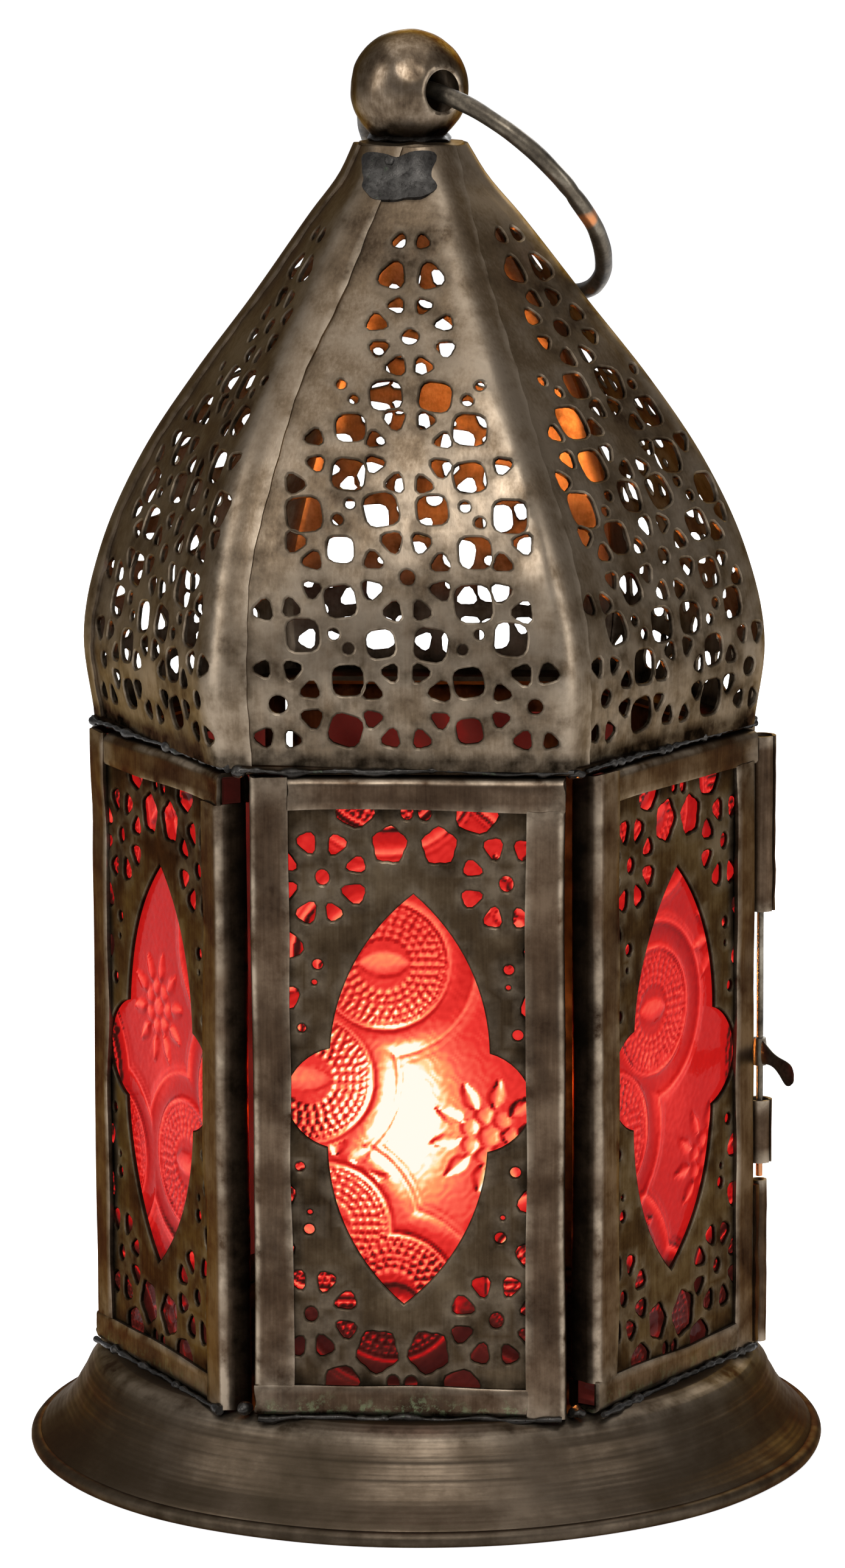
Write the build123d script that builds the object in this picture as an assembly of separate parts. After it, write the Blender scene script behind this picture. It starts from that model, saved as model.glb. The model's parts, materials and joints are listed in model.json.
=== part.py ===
from build123d import *
import math
import os

# Candle lantern: a six-sided glazed lantern on a spun foot, under a pierced onion dome.
# Millimetres, +Z up. The origin is at the centre of the foot's underside, and the front
# panel faces -Y. A panel's azimuth is the turn of its outward normal about +Z from -Y.

# ---- driving dimensions -------------------------------------------------------------
SIDES = 6
SIDE_STEP = 360 / SIDES
HALF_STEP = math.radians(SIDE_STEP / 2)
SHEET = 0.6                    # thickness of the folded and pierced sheet metal

# spun foot
RIM_RADIUS = 57.5              # outside of the rolled rim
RIM_WIRE = 1.1                 # radius of the rolled rim
RIM_CENTRE_Z = 1.0             # the rim's underside is worn flat where it stands
FOOT_TOP = 14.2                # height of the floor that the panels stand on
FOOT_SHOULDER = 45.4           # radius of the flat floor
FOOT_SKIRT = [(52.9, 4.6), (50.4, 8.6), (48.0, 12.3)]
FOOT_SHEET = 0.7
RIM_SEAM = 0.2                 # the skirt reaches this far into the rolled rim

# candle holder and tealight
HOLDER_RADIUS = 20.6
HOLDER_HEIGHT = 8.0
TEALIGHT_RADIUS = 19.0
TEALIGHT_HEIGHT = 16.0
TEALIGHT_WALL = 0.4
TEALIGHT_LIP = 0.6
WAX_DEPTH = 12.0
WAX_CLEARANCE = 0.05
WICK_RADIUS = 0.8
WICK_HEIGHT = 7.5
WICK_FOOT_RADIUS = 6.0
WICK_FOOT_HEIGHT = 0.8
BODY_GAP = 0.25                # between pieces that move apart

# glazed panels
FACE_APOTHEM = 42.8            # centre line of the lantern to the panels' outer face
PANEL_HALF = 21.6
PANEL_TOP = 104.6
PANEL_DEPTH = 5.0
STILE_FACE = 5.3
RAIL_FACE = 4.4
FOLD_RADIUS = 0.9
GLASS_THICK = 3.0
GLAZING_GAP = 0.4              # edge of the glass to the bottom of its channel
DOOR_GAP = 0.5                 # above and below the door

# pierced front sheet of a panel, from its own centre
FRET_ARCH_TOP = 29.0
FRET_ARCH_SHOULDER = (8.5, 17.6)
FRET_WAIST = (11.0, 7.0)
FRET_LOBE_SHOULDER = (15.4, 4.0)
FRET_LOBE_TIP = 17.1
FRET_ROSETTE = (12.8, 30.8)
DROP_RING = 5.15
DROP_RADIUS = 1.2
SEED_RADIUS = 0.95
BIG_HOLE_RADIUS = 2.6
FRET_BIG_HOLES = [(3.45, 35.8), (8.1, 40.3)]
FRET_EDGE_HOLES = [(16.9, 21.2), (16.9, 13.9)]
FRET_EDGE_RADIUS = 1.9
FRET_SEEDS = [(13.3, 18.8), (15.0, 9.7), (1.3, 39.7)]

# eave ring and onion dome: outer face of a gore as (apothem, height)
EAVE_TOP = 106.0
EAVE_APOTHEM = 41.0
EAVE_INNER = 34.0
DOME_LINE = [
    (41.5, EAVE_TOP), (42.7, 117.5), (40.5, 130.0), (35.5, 143.0), (28.6, 155.0),
    (21.5, 165.5), (13.6, 177.5), (9.4, 183.5), (7.5, 187.5),
]
DOME_ENDS = [(0.2, 1), (-0.3, 1)]   # directions of that line at the eave and at the top
MOTIF_PITCH = 17.7             # square grid of the pierced rosettes, along the sheet
MOTIF_FIRST = 8.7              # first row, from the eave
MOTIF_TOP = 68.0               # the piercing ends here, along the sheet
MOTIF_SQUARE = (3.45, 8.45)    # larger holes beside every second rosette
MOTIF_SQUARE_RADIUS = 1.9
MOTIF_MARGIN = 3.2             # solid metal kept beside a gore's folded edge

# cap, ball and carrying ring
CAP_RADIUS = 7.6
CAP_THICK = 0.6
BALL_RADIUS = 8.4
BALL_WALL = 0.6
BALL_CENTRE_Z = 195.3
BALL_LEAN = -1.5               # the ball is soldered on a little off centre
BALL_COLLAR_RADIUS = 5.7
BALL_COLLAR_HEIGHT = 1.1
RING_RADIUS = 20.75
RING_WIRE = 1.3
RING_AZIMUTH = 41.5            # direction of the hole through the ball
RING_DROP = 48.2               # the ring leans this far below level
RING_SLACK = 0.55
BALL_HOLE_RADIUS = 3.1

# hinge and drop bolt, in the grooves beside the door
DOOR_AZIMUTH = 120.0
CORNER_RADIUS = 48.3           # centre line of the lantern to the pin and to the bolt
KNUCKLE_RADIUS = 2.2
PIN_RADIUS = 0.7
RUNNING_GAP = 0.05
PIN_SPAN = (16.5, 102.5)
FRAME_KNUCKLES = [(18.0, 42.0), (77.0, 101.0)]
DOOR_KNUCKLES = [(42.4, 76.6)]
WELD_WIDTH = 2.0
WELD_DEPTH = 1.2
WELD_OVERLAP = 0.5
ROD_RADIUS = 0.5
ROD_SPAN = (38.7, 84.0)
BOLT_GUIDES = [(41.0, 50.2), (78.0, 103.4)]
BOLT_GUIDE_BORE = 0.58
GUIDE_MOUTH_RADIUS = 1.6
GUIDE_MOUTH_DEPTH = 4.0
KEEPER_SPAN = (14.2, 38.3)
KEEPER_RADIUS = 1.1
KEEPER_BORE = 0.6
TONGUE_LENGTH = 9.5
TONGUE_ROOT = (55.0, 59.4)
TONGUE_TIP = (52.3, 55.3)
TONGUE_TIP_ROUND = 1.5
TONGUE_THICK = 0.8

# ---- shared shapes -------------------------------------------------------------------


def turned(shape, azimuth):
    """Turn a piece built on the front panel to its own side of the lantern."""
    return shape.rotate(Axis.Z, azimuth)


def tube(outer, inner, low, high):
    """Upright tube about the Z axis between two heights."""
    ring = Circle(outer) - Circle(inner)
    return Pos(0, 0, low) * extrude(ring, high - low)


def rod(radius, low, high):
    """Upright round bar about the Z axis between two heights."""
    return Pos(0, 0, low) * extrude(Circle(radius), high - low)


def hexagon(apothem):
    """Hexagon with a flat side towards -Y."""
    return RegularPolygon(apothem / math.cos(HALF_STEP), SIDES, rotation=SIDE_STEP)


def mirrored(points):
    """The four mirror images of each point about the centre of a sheet."""
    return [(sx * x, sy * y) for x, y in points for sx in (1, -1) for sy in (1, -1)]


def ring_of_eight(centre, radius):
    """Eight places around a centre, none of them straight above or beside it."""
    step = 2 * math.pi / 8
    turns = [(k + 0.5) * step for k in range(8)]
    return [(centre[0] + radius * math.cos(t), centre[1] + radius * math.sin(t)) for t in turns]


# ---- foot ------------------------------------------------------------------------------


def foot_dish():
    """Spun foot: a flared, slightly hollow skirt that turns over into a flat floor."""
    rim = (RIM_RADIUS - 2 * RIM_WIRE + RIM_SEAM, RIM_CENTRE_Z + RIM_SEAM)
    rising = (-1, 1)
    level = (-1, 0)
    shoulder = (FOOT_SHOULDER, FOOT_TOP)
    skirt = Spline([rim, *FOOT_SKIRT, shoulder], tangents=[rising, level])
    inner = [(r - FOOT_SHEET, z - FOOT_SHEET / 2) for r, z in FOOT_SKIRT]
    inner_rim = (rim[0] - FOOT_SHEET, rim[1])
    inner_shoulder = (FOOT_SHOULDER, FOOT_TOP - FOOT_SHEET)
    lining = Spline([inner_rim, *inner, inner_shoulder], tangents=[rising, level])
    outline = [
        skirt,
        Line(shoulder, (0, FOOT_TOP)),
        Line((0, FOOT_TOP), (0, FOOT_TOP - FOOT_SHEET)),
        Line((0, FOOT_TOP - FOOT_SHEET), inner_shoulder),
        lining,
        Line(inner_rim, rim),
    ]
    return revolve(Plane.XZ * make_face(outline), Axis.Z)


def foot_rim(dish):
    """Rolled wire rim around the foot, worn flat underneath."""
    wire = Pos(0, 0, RIM_CENTRE_Z) * Torus(RIM_RADIUS - RIM_WIRE, RIM_WIRE)
    above_floor = Pos(0, 0, FOOT_TOP / 2) * Box(3 * RIM_RADIUS, 3 * RIM_RADIUS, FOOT_TOP)
    return (wire & above_floor) - dish


# ---- candle ----------------------------------------------------------------------------


def cup(radius, wall, floor, low, height):
    """Open round cup with a flat floor."""
    return rod(radius, low, low + height) - rod(radius - wall, low + floor, low + height)


def tealight_cup(low):
    """Pressed cup of the tealight with a small turned-out lip."""
    shell = cup(TEALIGHT_RADIUS - TEALIGHT_LIP, TEALIGHT_WALL, TEALIGHT_WALL, low, TEALIGHT_HEIGHT)
    top = low + TEALIGHT_HEIGHT
    lip = tube(TEALIGHT_RADIUS, TEALIGHT_RADIUS - TEALIGHT_LIP - TEALIGHT_WALL, top - TEALIGHT_WALL, top)
    return shell + lip


# ---- panels ----------------------------------------------------------------------------


def channel(face, length):
    """Folded channel along +Z, with its web at X = 0 and open towards +X."""
    outer = Pos(face / 2, 0) * Rectangle(face, PANEL_DEPTH)
    outer = fillet(outer.vertices().group_by(Axis.X)[0], FOLD_RADIUS)
    inner = Pos((face + SHEET) / 2, 0) * Rectangle(face - SHEET, PANEL_DEPTH - 2 * SHEET)
    return extrude(outer - inner, length)


def panel_frame(low, high):
    """Four channels of a panel, each one butting against the side of the next."""
    mid = PANEL_DEPTH / 2 - FACE_APOTHEM
    stile_length = high - low - RAIL_FACE
    rail_length = 2 * PANEL_HALF - STILE_FACE
    stile = channel(STILE_FACE, stile_length)
    rail = channel(RAIL_FACE, rail_length)
    return {
        "stile_left": Pos(-PANEL_HALF, mid, low + RAIL_FACE) * stile,
        "stile_right": Pos(PANEL_HALF, mid, low) * Rot(0, 0, 180) * stile,
        "rail_top": Pos(STILE_FACE - PANEL_HALF, mid, high) * Rot(0, 90, 0) * rail,
        "rail_bottom": Pos(PANEL_HALF - STILE_FACE, mid, low) * Rot(0, -90, 0) * rail,
    }


def fret_window():
    """Opening of the pierced sheet: a pointed oval with a round lobe at each side."""
    tip = (0, FRET_ARCH_TOP)
    lobe = (FRET_LOBE_TIP, 0)
    arch = ThreePointArc(tip, FRET_ARCH_SHOULDER, FRET_WAIST)
    ear = ThreePointArc(FRET_WAIST, FRET_LOBE_SHOULDER, lobe)
    quarter = make_face([arch, ear, Line(lobe, (0, 0)), Line((0, 0), tip)])
    half = quarter + mirror(quarter, Plane.XZ)
    return half + mirror(half, Plane.YZ)


def fret_sheet(low, high):
    """Pierced sheet that lies in front of the glass."""
    edge = SHEET + GLAZING_GAP / 2
    sheet = Rectangle(2 * (PANEL_HALF - edge), high - low - 2 * edge)
    seeds = mirrored([FRET_ROSETTE, *FRET_SEEDS])
    drops = [place for centre in mirrored([FRET_ROSETTE]) for place in ring_of_eight(centre, DROP_RING)]
    holes = Sketch() + [Pos(*place) * Circle(SEED_RADIUS) for place in seeds]
    holes += [Pos(*place) * Circle(DROP_RADIUS) for place in drops]
    holes += [Pos(*place) * Circle(BIG_HOLE_RADIUS) for place in mirrored(FRET_BIG_HOLES[:1])]
    holes += [Pos(*place) * Circle(FRET_EDGE_RADIUS) for place in mirrored(FRET_EDGE_HOLES)]
    holes += [Pos(*place) * Circle(FRET_EDGE_RADIUS) for place in mirrored(FRET_BIG_HOLES[1:])]
    pierced = sheet - fret_window() - holes
    solid = extrude(pierced, SHEET)
    return Pos(0, SHEET - FACE_APOTHEM, (low + high) / 2) * Rot(90, 0, 0) * Pos(0, 0, -SHEET) * solid


def glass_pane(low, high):
    """Pressed glass pane behind the pierced sheet."""
    edge = SHEET + GLAZING_GAP
    back = 2 * SHEET - FACE_APOTHEM
    height = high - low - 2 * edge
    pane = Box(2 * (PANEL_HALF - edge), GLASS_THICK, height)
    return Pos(0, back + GLASS_THICK / 2, (low + high) / 2) * pane


def panel(low, high):
    """Every piece of one glazed panel, in front of the lantern."""
    pieces = panel_frame(low, high)
    pieces["fret"] = fret_sheet(low, high)
    pieces["glass"] = glass_pane(low, high)
    return pieces


# ---- dome ------------------------------------------------------------------------------

GORE_PLANE = Plane(origin=(0, 0, 0), x_dir=(0, -1, 0), z_dir=(-1, 0, 0))


def gore_line(inset):
    """Side view of a gore's sheet, moved inwards from its outer face."""
    outer = Spline(DOME_LINE, tangents=DOME_ENDS)
    if inset == 0:
        return outer
    places = [k / (len(DOME_LINE) - 1) for k in range(len(DOME_LINE))]
    points = []
    for place in places:
        point = outer @ place
        along = outer % place
        points.append((point.X - inset * along.Y, point.Y + inset * along.X))
    points[0] = (DOME_LINE[0][0] - inset, DOME_LINE[0][1])
    points[-1] = (DOME_LINE[-1][0] - inset, DOME_LINE[-1][1])
    return Spline(points, tangents=DOME_ENDS)


def motif_holes(length):
    """Places and radii of a gore's holes, as (across, along, radius)."""
    holes = []
    rows = int(MOTIF_TOP / MOTIF_PITCH) + 1
    for row in range(rows):
        for column in (-1, 0, 1):
            centre = (column * MOTIF_PITCH, MOTIF_FIRST + row * MOTIF_PITCH)
            holes += [(*place, DROP_RADIUS) for place in ring_of_eight(centre, DROP_RING)]
            if (row + column) % 2:
                holes.append((*centre, SEED_RADIUS))
            else:
                near, far = MOTIF_SQUARE
                offsets = mirrored([(near, far), (far, near)])
                holes += [(centre[0] + dx, centre[1] + dy, MOTIF_SQUARE_RADIUS) for dx, dy in offsets]
    return [hole for hole in holes if MOTIF_MARGIN < hole[1] < min(length, MOTIF_TOP)]


def dome_gore():
    """One pierced, single-curved side of the dome, mitred against its neighbours."""
    outer = gore_line(0)
    inner = gore_line(SHEET)
    section = make_face([outer, inner, Line(outer @ 0, inner @ 0), Line(outer @ 1, inner @ 1)])
    reach = FACE_APOTHEM * math.tan(HALF_STEP) + SHEET
    sheet = extrude(GORE_PLANE * section, reach, both=True)
    depth = 2 * reach / math.tan(HALF_STEP)
    corners = [(0, 0), (-2 * reach, -depth), (2 * reach, -depth)]
    wedge = extrude(make_face(Polyline(*corners, close=True)), 2 * EAVE_TOP)
    gore = sheet & wedge
    cutters = []
    for across, along, radius in motif_holes(outer.length):
        place = outer @ (along / outer.length)
        heading = outer % (along / outer.length)
        if abs(across) + radius + MOTIF_MARGIN > place.X * math.tan(HALF_STEP):
            continue
        normal = Vector(0, -heading.Y, -heading.X)
        spot = Plane(origin=(across, -place.X, place.Y), z_dir=normal)
        cutters.append(spot * Cylinder(radius, 4 * SHEET))
    return gore - cutters


# ---- ball and ring -----------------------------------------------------------------------


def ball_place():
    """Where the ball's centre stands."""
    return Pos(BALL_LEAN, 0, BALL_CENTRE_Z)


def finial_ball():
    """Hollow ball with a round hole through it for the carrying ring."""
    shell = Sphere(BALL_RADIUS) - Sphere(BALL_RADIUS - BALL_WALL)
    hole = Rot(0, 0, RING_AZIMUTH) * Rot(90, 0, 0) * Cylinder(BALL_HOLE_RADIUS, 3 * BALL_RADIUS)
    return ball_place() * (shell - hole)


def ball_collar():
    """Solder collar that seats the ball on the cap."""
    low = DOME_LINE[-1][1] + CAP_THICK
    seat = rod(BALL_COLLAR_RADIUS, low, low + BALL_COLLAR_HEIGHT)
    return Pos(BALL_LEAN, 0, 0) * seat - ball_place() * Sphere(BALL_RADIUS)


def dome_cap():
    """Small disc that closes the top of the gores, open under the ball."""
    low = DOME_LINE[-1][1]
    disc = rod(CAP_RADIUS, low, low + CAP_THICK)
    return disc - ball_place() * Sphere(BALL_RADIUS)


def carry_ring():
    """Round wire ring through the ball, lying back towards the dome."""
    turn = math.radians(RING_AZIMUTH)
    drop = math.radians(RING_DROP)
    through_ball = Vector(math.sin(turn), -math.cos(turn), 0)
    outwards = Vector(math.cos(turn), math.sin(turn), 0)
    leaning = outwards * math.cos(drop) - Vector(0, 0, math.sin(drop))
    centre = Vector(BALL_LEAN, 0, BALL_CENTRE_Z) + leaning * (RING_RADIUS - RING_SLACK)
    plane = Plane(origin=centre, x_dir=through_ball, z_dir=through_ball.cross(leaning))
    return plane * Torus(RING_RADIUS, RING_WIRE)


# ---- hinge and bolt ----------------------------------------------------------------------


def corner_place(side):
    """Centre of a groove beside the front panel: side 1 is its right, -1 its left."""
    half = CORNER_RADIUS * math.sin(HALF_STEP)
    return Pos(side * half, -CORNER_RADIUS * math.cos(HALF_STEP), 0)


def welded_tube(side, outer, bore, low, high):
    """Tube in a groove, joined to the web of the front panel's stile by solder."""
    reach = CORNER_RADIUS * math.sin(HALF_STEP) - PANEL_HALF
    joint_length = max(WELD_DEPTH, reach - outer + WELD_OVERLAP)
    solder = Box(joint_length, min(WELD_WIDTH, outer), high - low, align=(Align.MIN, Align.CENTER, Align.MIN))
    solder = Pos(-reach, 0, low) * solder
    if side < 0:
        solder = mirror(solder, Plane.YZ)
    body = rod(outer, low, high) + solder
    return corner_place(side) * (body - rod(bore, low, high))


def frame_knuckles():
    """Hinge knuckles on the fixed panel beside the door."""
    bore = PIN_RADIUS
    return [welded_tube(-1, KNUCKLE_RADIUS, bore, low, high) for low, high in FRAME_KNUCKLES]


def door_knuckles():
    """Hinge knuckle on the door, running on the pin."""
    bore = PIN_RADIUS + RUNNING_GAP
    return [welded_tube(1, KNUCKLE_RADIUS, bore, low, high) for low, high in DOOR_KNUCKLES]


def bolt_guide(low, high, open_mouth):
    """Tube on the door that the bolt slides in."""
    guide = welded_tube(-1, KNUCKLE_RADIUS, BOLT_GUIDE_BORE, low, high)
    if open_mouth:
        guide -= corner_place(-1) * rod(GUIDE_MOUTH_RADIUS, high - GUIDE_MOUTH_DEPTH, high)
    return guide


def bolt_tongue():
    """Finger tongue on the bolt's rod, drooping towards its tip."""
    profile = Polyline(
        (0, TONGUE_ROOT[0]),
        (TONGUE_LENGTH, TONGUE_TIP[0]),
        (TONGUE_LENGTH, TONGUE_TIP[1]),
        (0, TONGUE_ROOT[1]),
        close=True,
    )
    blade = make_face(profile)
    blade = fillet(blade.vertices().group_by(Axis.X)[-1], TONGUE_TIP_ROUND)
    plate = extrude(Plane.XZ * blade, TONGUE_THICK / 2, both=True)
    collar = rod(2 * ROD_RADIUS, *TONGUE_ROOT)
    tongue = plate + collar - rod(ROD_RADIUS, *ROD_SPAN)
    return corner_place(-1) * Rot(0, 0, 180) * tongue


# ---- assembly ----------------------------------------------------------------------------

SIDE_NAMES = {0: "front", 60: "right_front", 120: "door", 180: "rear", 240: "left_rear", 300: "left_front"}


def build_nodes():
    """Every piece of the lantern by its node's name."""
    nodes = {}
    nodes["foot_dish"] = foot_dish()
    nodes["foot_rim"] = foot_rim(nodes["foot_dish"])
    nodes["candle_holder"] = cup(HOLDER_RADIUS, SHEET, SHEET, FOOT_TOP, HOLDER_HEIGHT)

    candle_low = FOOT_TOP + SHEET + BODY_GAP
    wax_low = candle_low + TEALIGHT_WALL
    wax_radius = TEALIGHT_RADIUS - TEALIGHT_LIP - TEALIGHT_WALL - WAX_CLEARANCE
    wick_foot_top = wax_low + WICK_FOOT_HEIGHT
    wick_top = wax_low + WAX_DEPTH + WICK_HEIGHT
    wick = rod(WICK_FOOT_RADIUS, wax_low, wick_foot_top) + rod(WICK_RADIUS, wax_low, wick_top)
    nodes["tealight_cup"] = tealight_cup(candle_low)
    nodes["tealight_wick"] = wick
    nodes["tealight_wax"] = rod(wax_radius, wax_low, wax_low + WAX_DEPTH) - wick

    for azimuth, side in SIDE_NAMES.items():
        gap = DOOR_GAP if side == "door" else 0
        pieces = panel(FOOT_TOP + gap, PANEL_TOP - gap)
        for piece, shape in pieces.items():
            nodes[f"{side}_{piece}"] = turned(shape, azimuth)

    nodes["eave_ring"] = Pos(0, 0, PANEL_TOP) * extrude(
        hexagon(EAVE_APOTHEM) - hexagon(EAVE_INNER), EAVE_TOP - PANEL_TOP
    )
    gore = dome_gore()
    for number in range(SIDES):
        nodes[f"dome_gore_{number + 1}"] = turned(gore, number * SIDE_STEP)
    nodes["dome_cap"] = dome_cap()
    nodes["ball_collar"] = ball_collar()
    nodes["finial_ball"] = finial_ball()
    nodes["carry_ring"] = carry_ring()

    hinge_side = DOOR_AZIMUTH + SIDE_STEP
    bolt_side = DOOR_AZIMUTH - SIDE_STEP
    pin = corner_place(1) * rod(PIN_RADIUS, *PIN_SPAN)
    nodes["hinge_pin"] = turned(pin, DOOR_AZIMUTH)
    nodes["hinge_knuckles_frame"] = turned(Compound(children=frame_knuckles()), hinge_side)
    nodes["hinge_knuckle_door"] = turned(door_knuckles()[0], DOOR_AZIMUTH)
    guides = [bolt_guide(*BOLT_GUIDES[0], False), bolt_guide(*BOLT_GUIDES[1], True)]
    nodes["bolt_guides"] = turned(Compound(children=guides), DOOR_AZIMUTH)
    nodes["bolt_keeper"] = turned(welded_tube(1, KEEPER_RADIUS, KEEPER_BORE, *KEEPER_SPAN), bolt_side)
    nodes["bolt_rod"] = turned(corner_place(-1) * rod(ROD_RADIUS, *ROD_SPAN), DOOR_AZIMUTH)
    nodes["bolt_tongue"] = turned(bolt_tongue(), DOOR_AZIMUTH)
    return nodes


def write_nodes():
    """Write one STEP file for each node."""
    os.makedirs("parts", exist_ok=True)
    for name, shape in build_nodes().items():
        export_step(shape, f"parts/{name}.step")


write_nodes()
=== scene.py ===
"""Looks of a six-sided candle lantern: red pressed glass behind pierced sheets, under an onion dome.

Shapes are worked out in millimetres in the lantern's own frame and become pieces in metres.
A panel's own frame is u across it, v inwards from its outer face and z up.
"""

import json
import logging
from collections.abc import Callable
from dataclasses import dataclass, field
from enum import Enum
from math import asin, atan2, cos, exp, hypot, pi, radians, sin, sqrt, tan

import bpy
import numpy as np
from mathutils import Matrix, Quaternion, Vector
from mathutils.geometry import delaunay_2d_cdt


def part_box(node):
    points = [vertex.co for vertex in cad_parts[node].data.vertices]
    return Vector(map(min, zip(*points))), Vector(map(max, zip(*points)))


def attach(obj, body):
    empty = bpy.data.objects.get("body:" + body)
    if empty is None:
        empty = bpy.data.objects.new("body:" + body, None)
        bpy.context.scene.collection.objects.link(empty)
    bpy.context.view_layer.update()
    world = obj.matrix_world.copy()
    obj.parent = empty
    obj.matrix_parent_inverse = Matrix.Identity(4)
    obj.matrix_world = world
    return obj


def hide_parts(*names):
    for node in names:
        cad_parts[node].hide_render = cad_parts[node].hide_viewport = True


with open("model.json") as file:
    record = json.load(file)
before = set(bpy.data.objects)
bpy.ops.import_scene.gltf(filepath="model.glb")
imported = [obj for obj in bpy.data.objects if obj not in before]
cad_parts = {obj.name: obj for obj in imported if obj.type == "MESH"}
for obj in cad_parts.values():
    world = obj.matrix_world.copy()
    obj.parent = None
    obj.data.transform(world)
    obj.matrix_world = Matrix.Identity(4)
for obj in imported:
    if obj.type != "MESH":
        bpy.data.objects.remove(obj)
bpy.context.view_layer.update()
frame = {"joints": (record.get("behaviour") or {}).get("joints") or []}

MM = 0.001
SIDES = 6
HALF_SIDE = pi / SIDES
SHEET = 0.6
Colour = tuple[float, float, float]
Socket = bpy.types.NodeSocket
Array = np.ndarray
log = logging.getLogger("lantern")


def box_mm(node: str) -> tuple[Vector, Vector]:
    """Lowest and highest corner of a node at rest, in millimetres."""
    low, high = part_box(node)
    return low / MM, high / MM


class Side(Enum):
    """The six glazed sides, by the turn of their outward normal about +Z from -Y, in degrees."""

    FRONT = 0
    RIGHT_FRONT = 60
    DOOR = 120
    REAR = 180
    LEFT_REAR = 240
    LEFT_FRONT = 300

    @property
    def label(self) -> str:
        """Name of the side as its nodes have it."""
        return self.name.lower()

    @property
    def body(self) -> str:
        """Body that the side's pieces ride on."""
        return "door" if self is Side.DOOR else "root"


class Slot(Enum):
    """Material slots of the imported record."""

    SHEET = "aged_sheet_metal"
    FOOT = "foot_metal"
    GLASS = "pressed_glass"
    WIRE = "coppered_wire"
    SOLDER = "solder"
    ALUMINIUM = "thin_aluminium"
    WAX = "wax"
    WICK = "wick"


# Shapes.


class Waves:
    """Smooth, repeatable unevenness, made of sine waves in random directions."""

    def __init__(self, size: float, seed: int, count: int = 10) -> None:
        """Draw the waves.

        Args:
            size: rough distance between bumps, in millimetres.
            seed: number that fixes the draw.
            count: number of waves.
        """
        rng = np.random.default_rng(seed)
        headings = rng.normal(size=(count, 3))
        headings /= np.linalg.norm(headings, axis=1)[:, None]
        self.numbers = headings * (2 * pi / size) * rng.uniform(0.5, 1.5, (count, 1))
        self.phases = rng.uniform(0, 2 * pi, count)

    def at(self, points: Array) -> Array:
        """Height of the waves, mostly between -1 and 1, at each point."""
        total = np.sin(points @ self.numbers.T + self.phases).sum(axis=1)
        return total / sqrt(len(self.phases))


@dataclass
class Shape:
    """Points in millimetres with faces and finish weights, before they become a piece."""

    points: Array
    faces: list[tuple[int, ...]]
    weights: dict[str, Array] = field(default_factory=dict)

    def turned(self, azimuth: float) -> "Shape":
        """Turn the shape about the Z axis by an azimuth in degrees.

        Args:
            azimuth: the turn, in degrees.

        Returns:
            The turned shape.
        """
        c, s = cos(radians(azimuth)), sin(radians(azimuth))
        x, y, z = self.points.T
        return Shape(np.column_stack([x * c - y * s, x * s + y * c, z]), self.faces, self.weights)

    def moved(self, x: float = 0, y: float = 0, z: float = 0) -> "Shape":
        """Move the shape."""
        return Shape(self.points + np.array([x, y, z]), self.faces, self.weights)

    @staticmethod
    def joined(shapes: list["Shape"]) -> "Shape":
        """Put several shapes into one.

        Args:
            shapes: the shapes, none of which needs every weight.

        Returns:
            One shape with all their points, faces and weights.
        """
        names = sorted({name for shape in shapes for name in shape.weights})
        points = np.vstack([shape.points for shape in shapes])
        faces: list[tuple[int, ...]] = []
        start = 0
        for shape in shapes:
            faces += [tuple(i + start for i in face) for face in shape.faces]
            start += len(shape.points)
        weights = {
            name: np.concatenate([s.weights.get(name, np.zeros(len(s.points))) for s in shapes])
            for name in names
        }
        return Shape(points, faces, weights)

    def as_piece(
        self,
        name: str,
        finish: "Finish",
        slot: Slot | None,
        body: str,
        replaced: tuple[str, ...] = (),
        sharp: float = 42.0,
    ) -> bpy.types.Object:
        """Make the Blender object and tie it to the frame.

        Args:
            name: name of the piece.
            finish: finish that dresses it.
            slot: material slot of the record, or None for the flame; not used.
            body: CAD body that it rides on.
            replaced: CAD nodes that it stands for.
            sharp: edges that turn by more degrees than this stay sharp.

        Returns:
            The new object.
        """
        mesh = bpy.data.meshes.new(name)
        mesh.from_pydata((self.points * MM).tolist(), [], self.faces)
        for weight, values in self.weights.items():
            attribute = mesh.attributes.new(weight, "FLOAT", "POINT")
            attribute.data.foreach_set("value", np.clip(values, 0, 4).astype(np.float32))
        mesh.validate()
        mesh.polygons.foreach_set("use_smooth", [True] * len(mesh.polygons))
        mesh.set_sharp_from_angle(angle=radians(sharp))
        mesh.materials.append(finish.dressed())
        piece = bpy.data.objects.new(name, mesh)
        bpy.context.scene.collection.objects.link(piece)
        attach(piece, body)
        if replaced:
            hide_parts(*replaced)
        log.info("%s: %d points on %s", name, len(self.points), body)
        return piece


def rows_joined(rows: int, columns: int, wrap_rows: bool, wrap_columns: bool) -> list[tuple[int, ...]]:
    """Faces of a grid of points that is stored row by row.

    Args:
        rows: number of rows.
        columns: number of points in each row.
        wrap_rows: the last row joins the first.
        wrap_columns: the last point of a row joins its first.

    Returns:
        The four-sided faces.
    """
    faces = []
    for i in range(rows if wrap_rows else rows - 1):
        near, far = i * columns, (i + 1) % rows * columns
        for j in range(columns if wrap_columns else columns - 1):
            k = (j + 1) % columns
            faces.append((near + j, near + k, far + k, far + j))
    return faces


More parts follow.
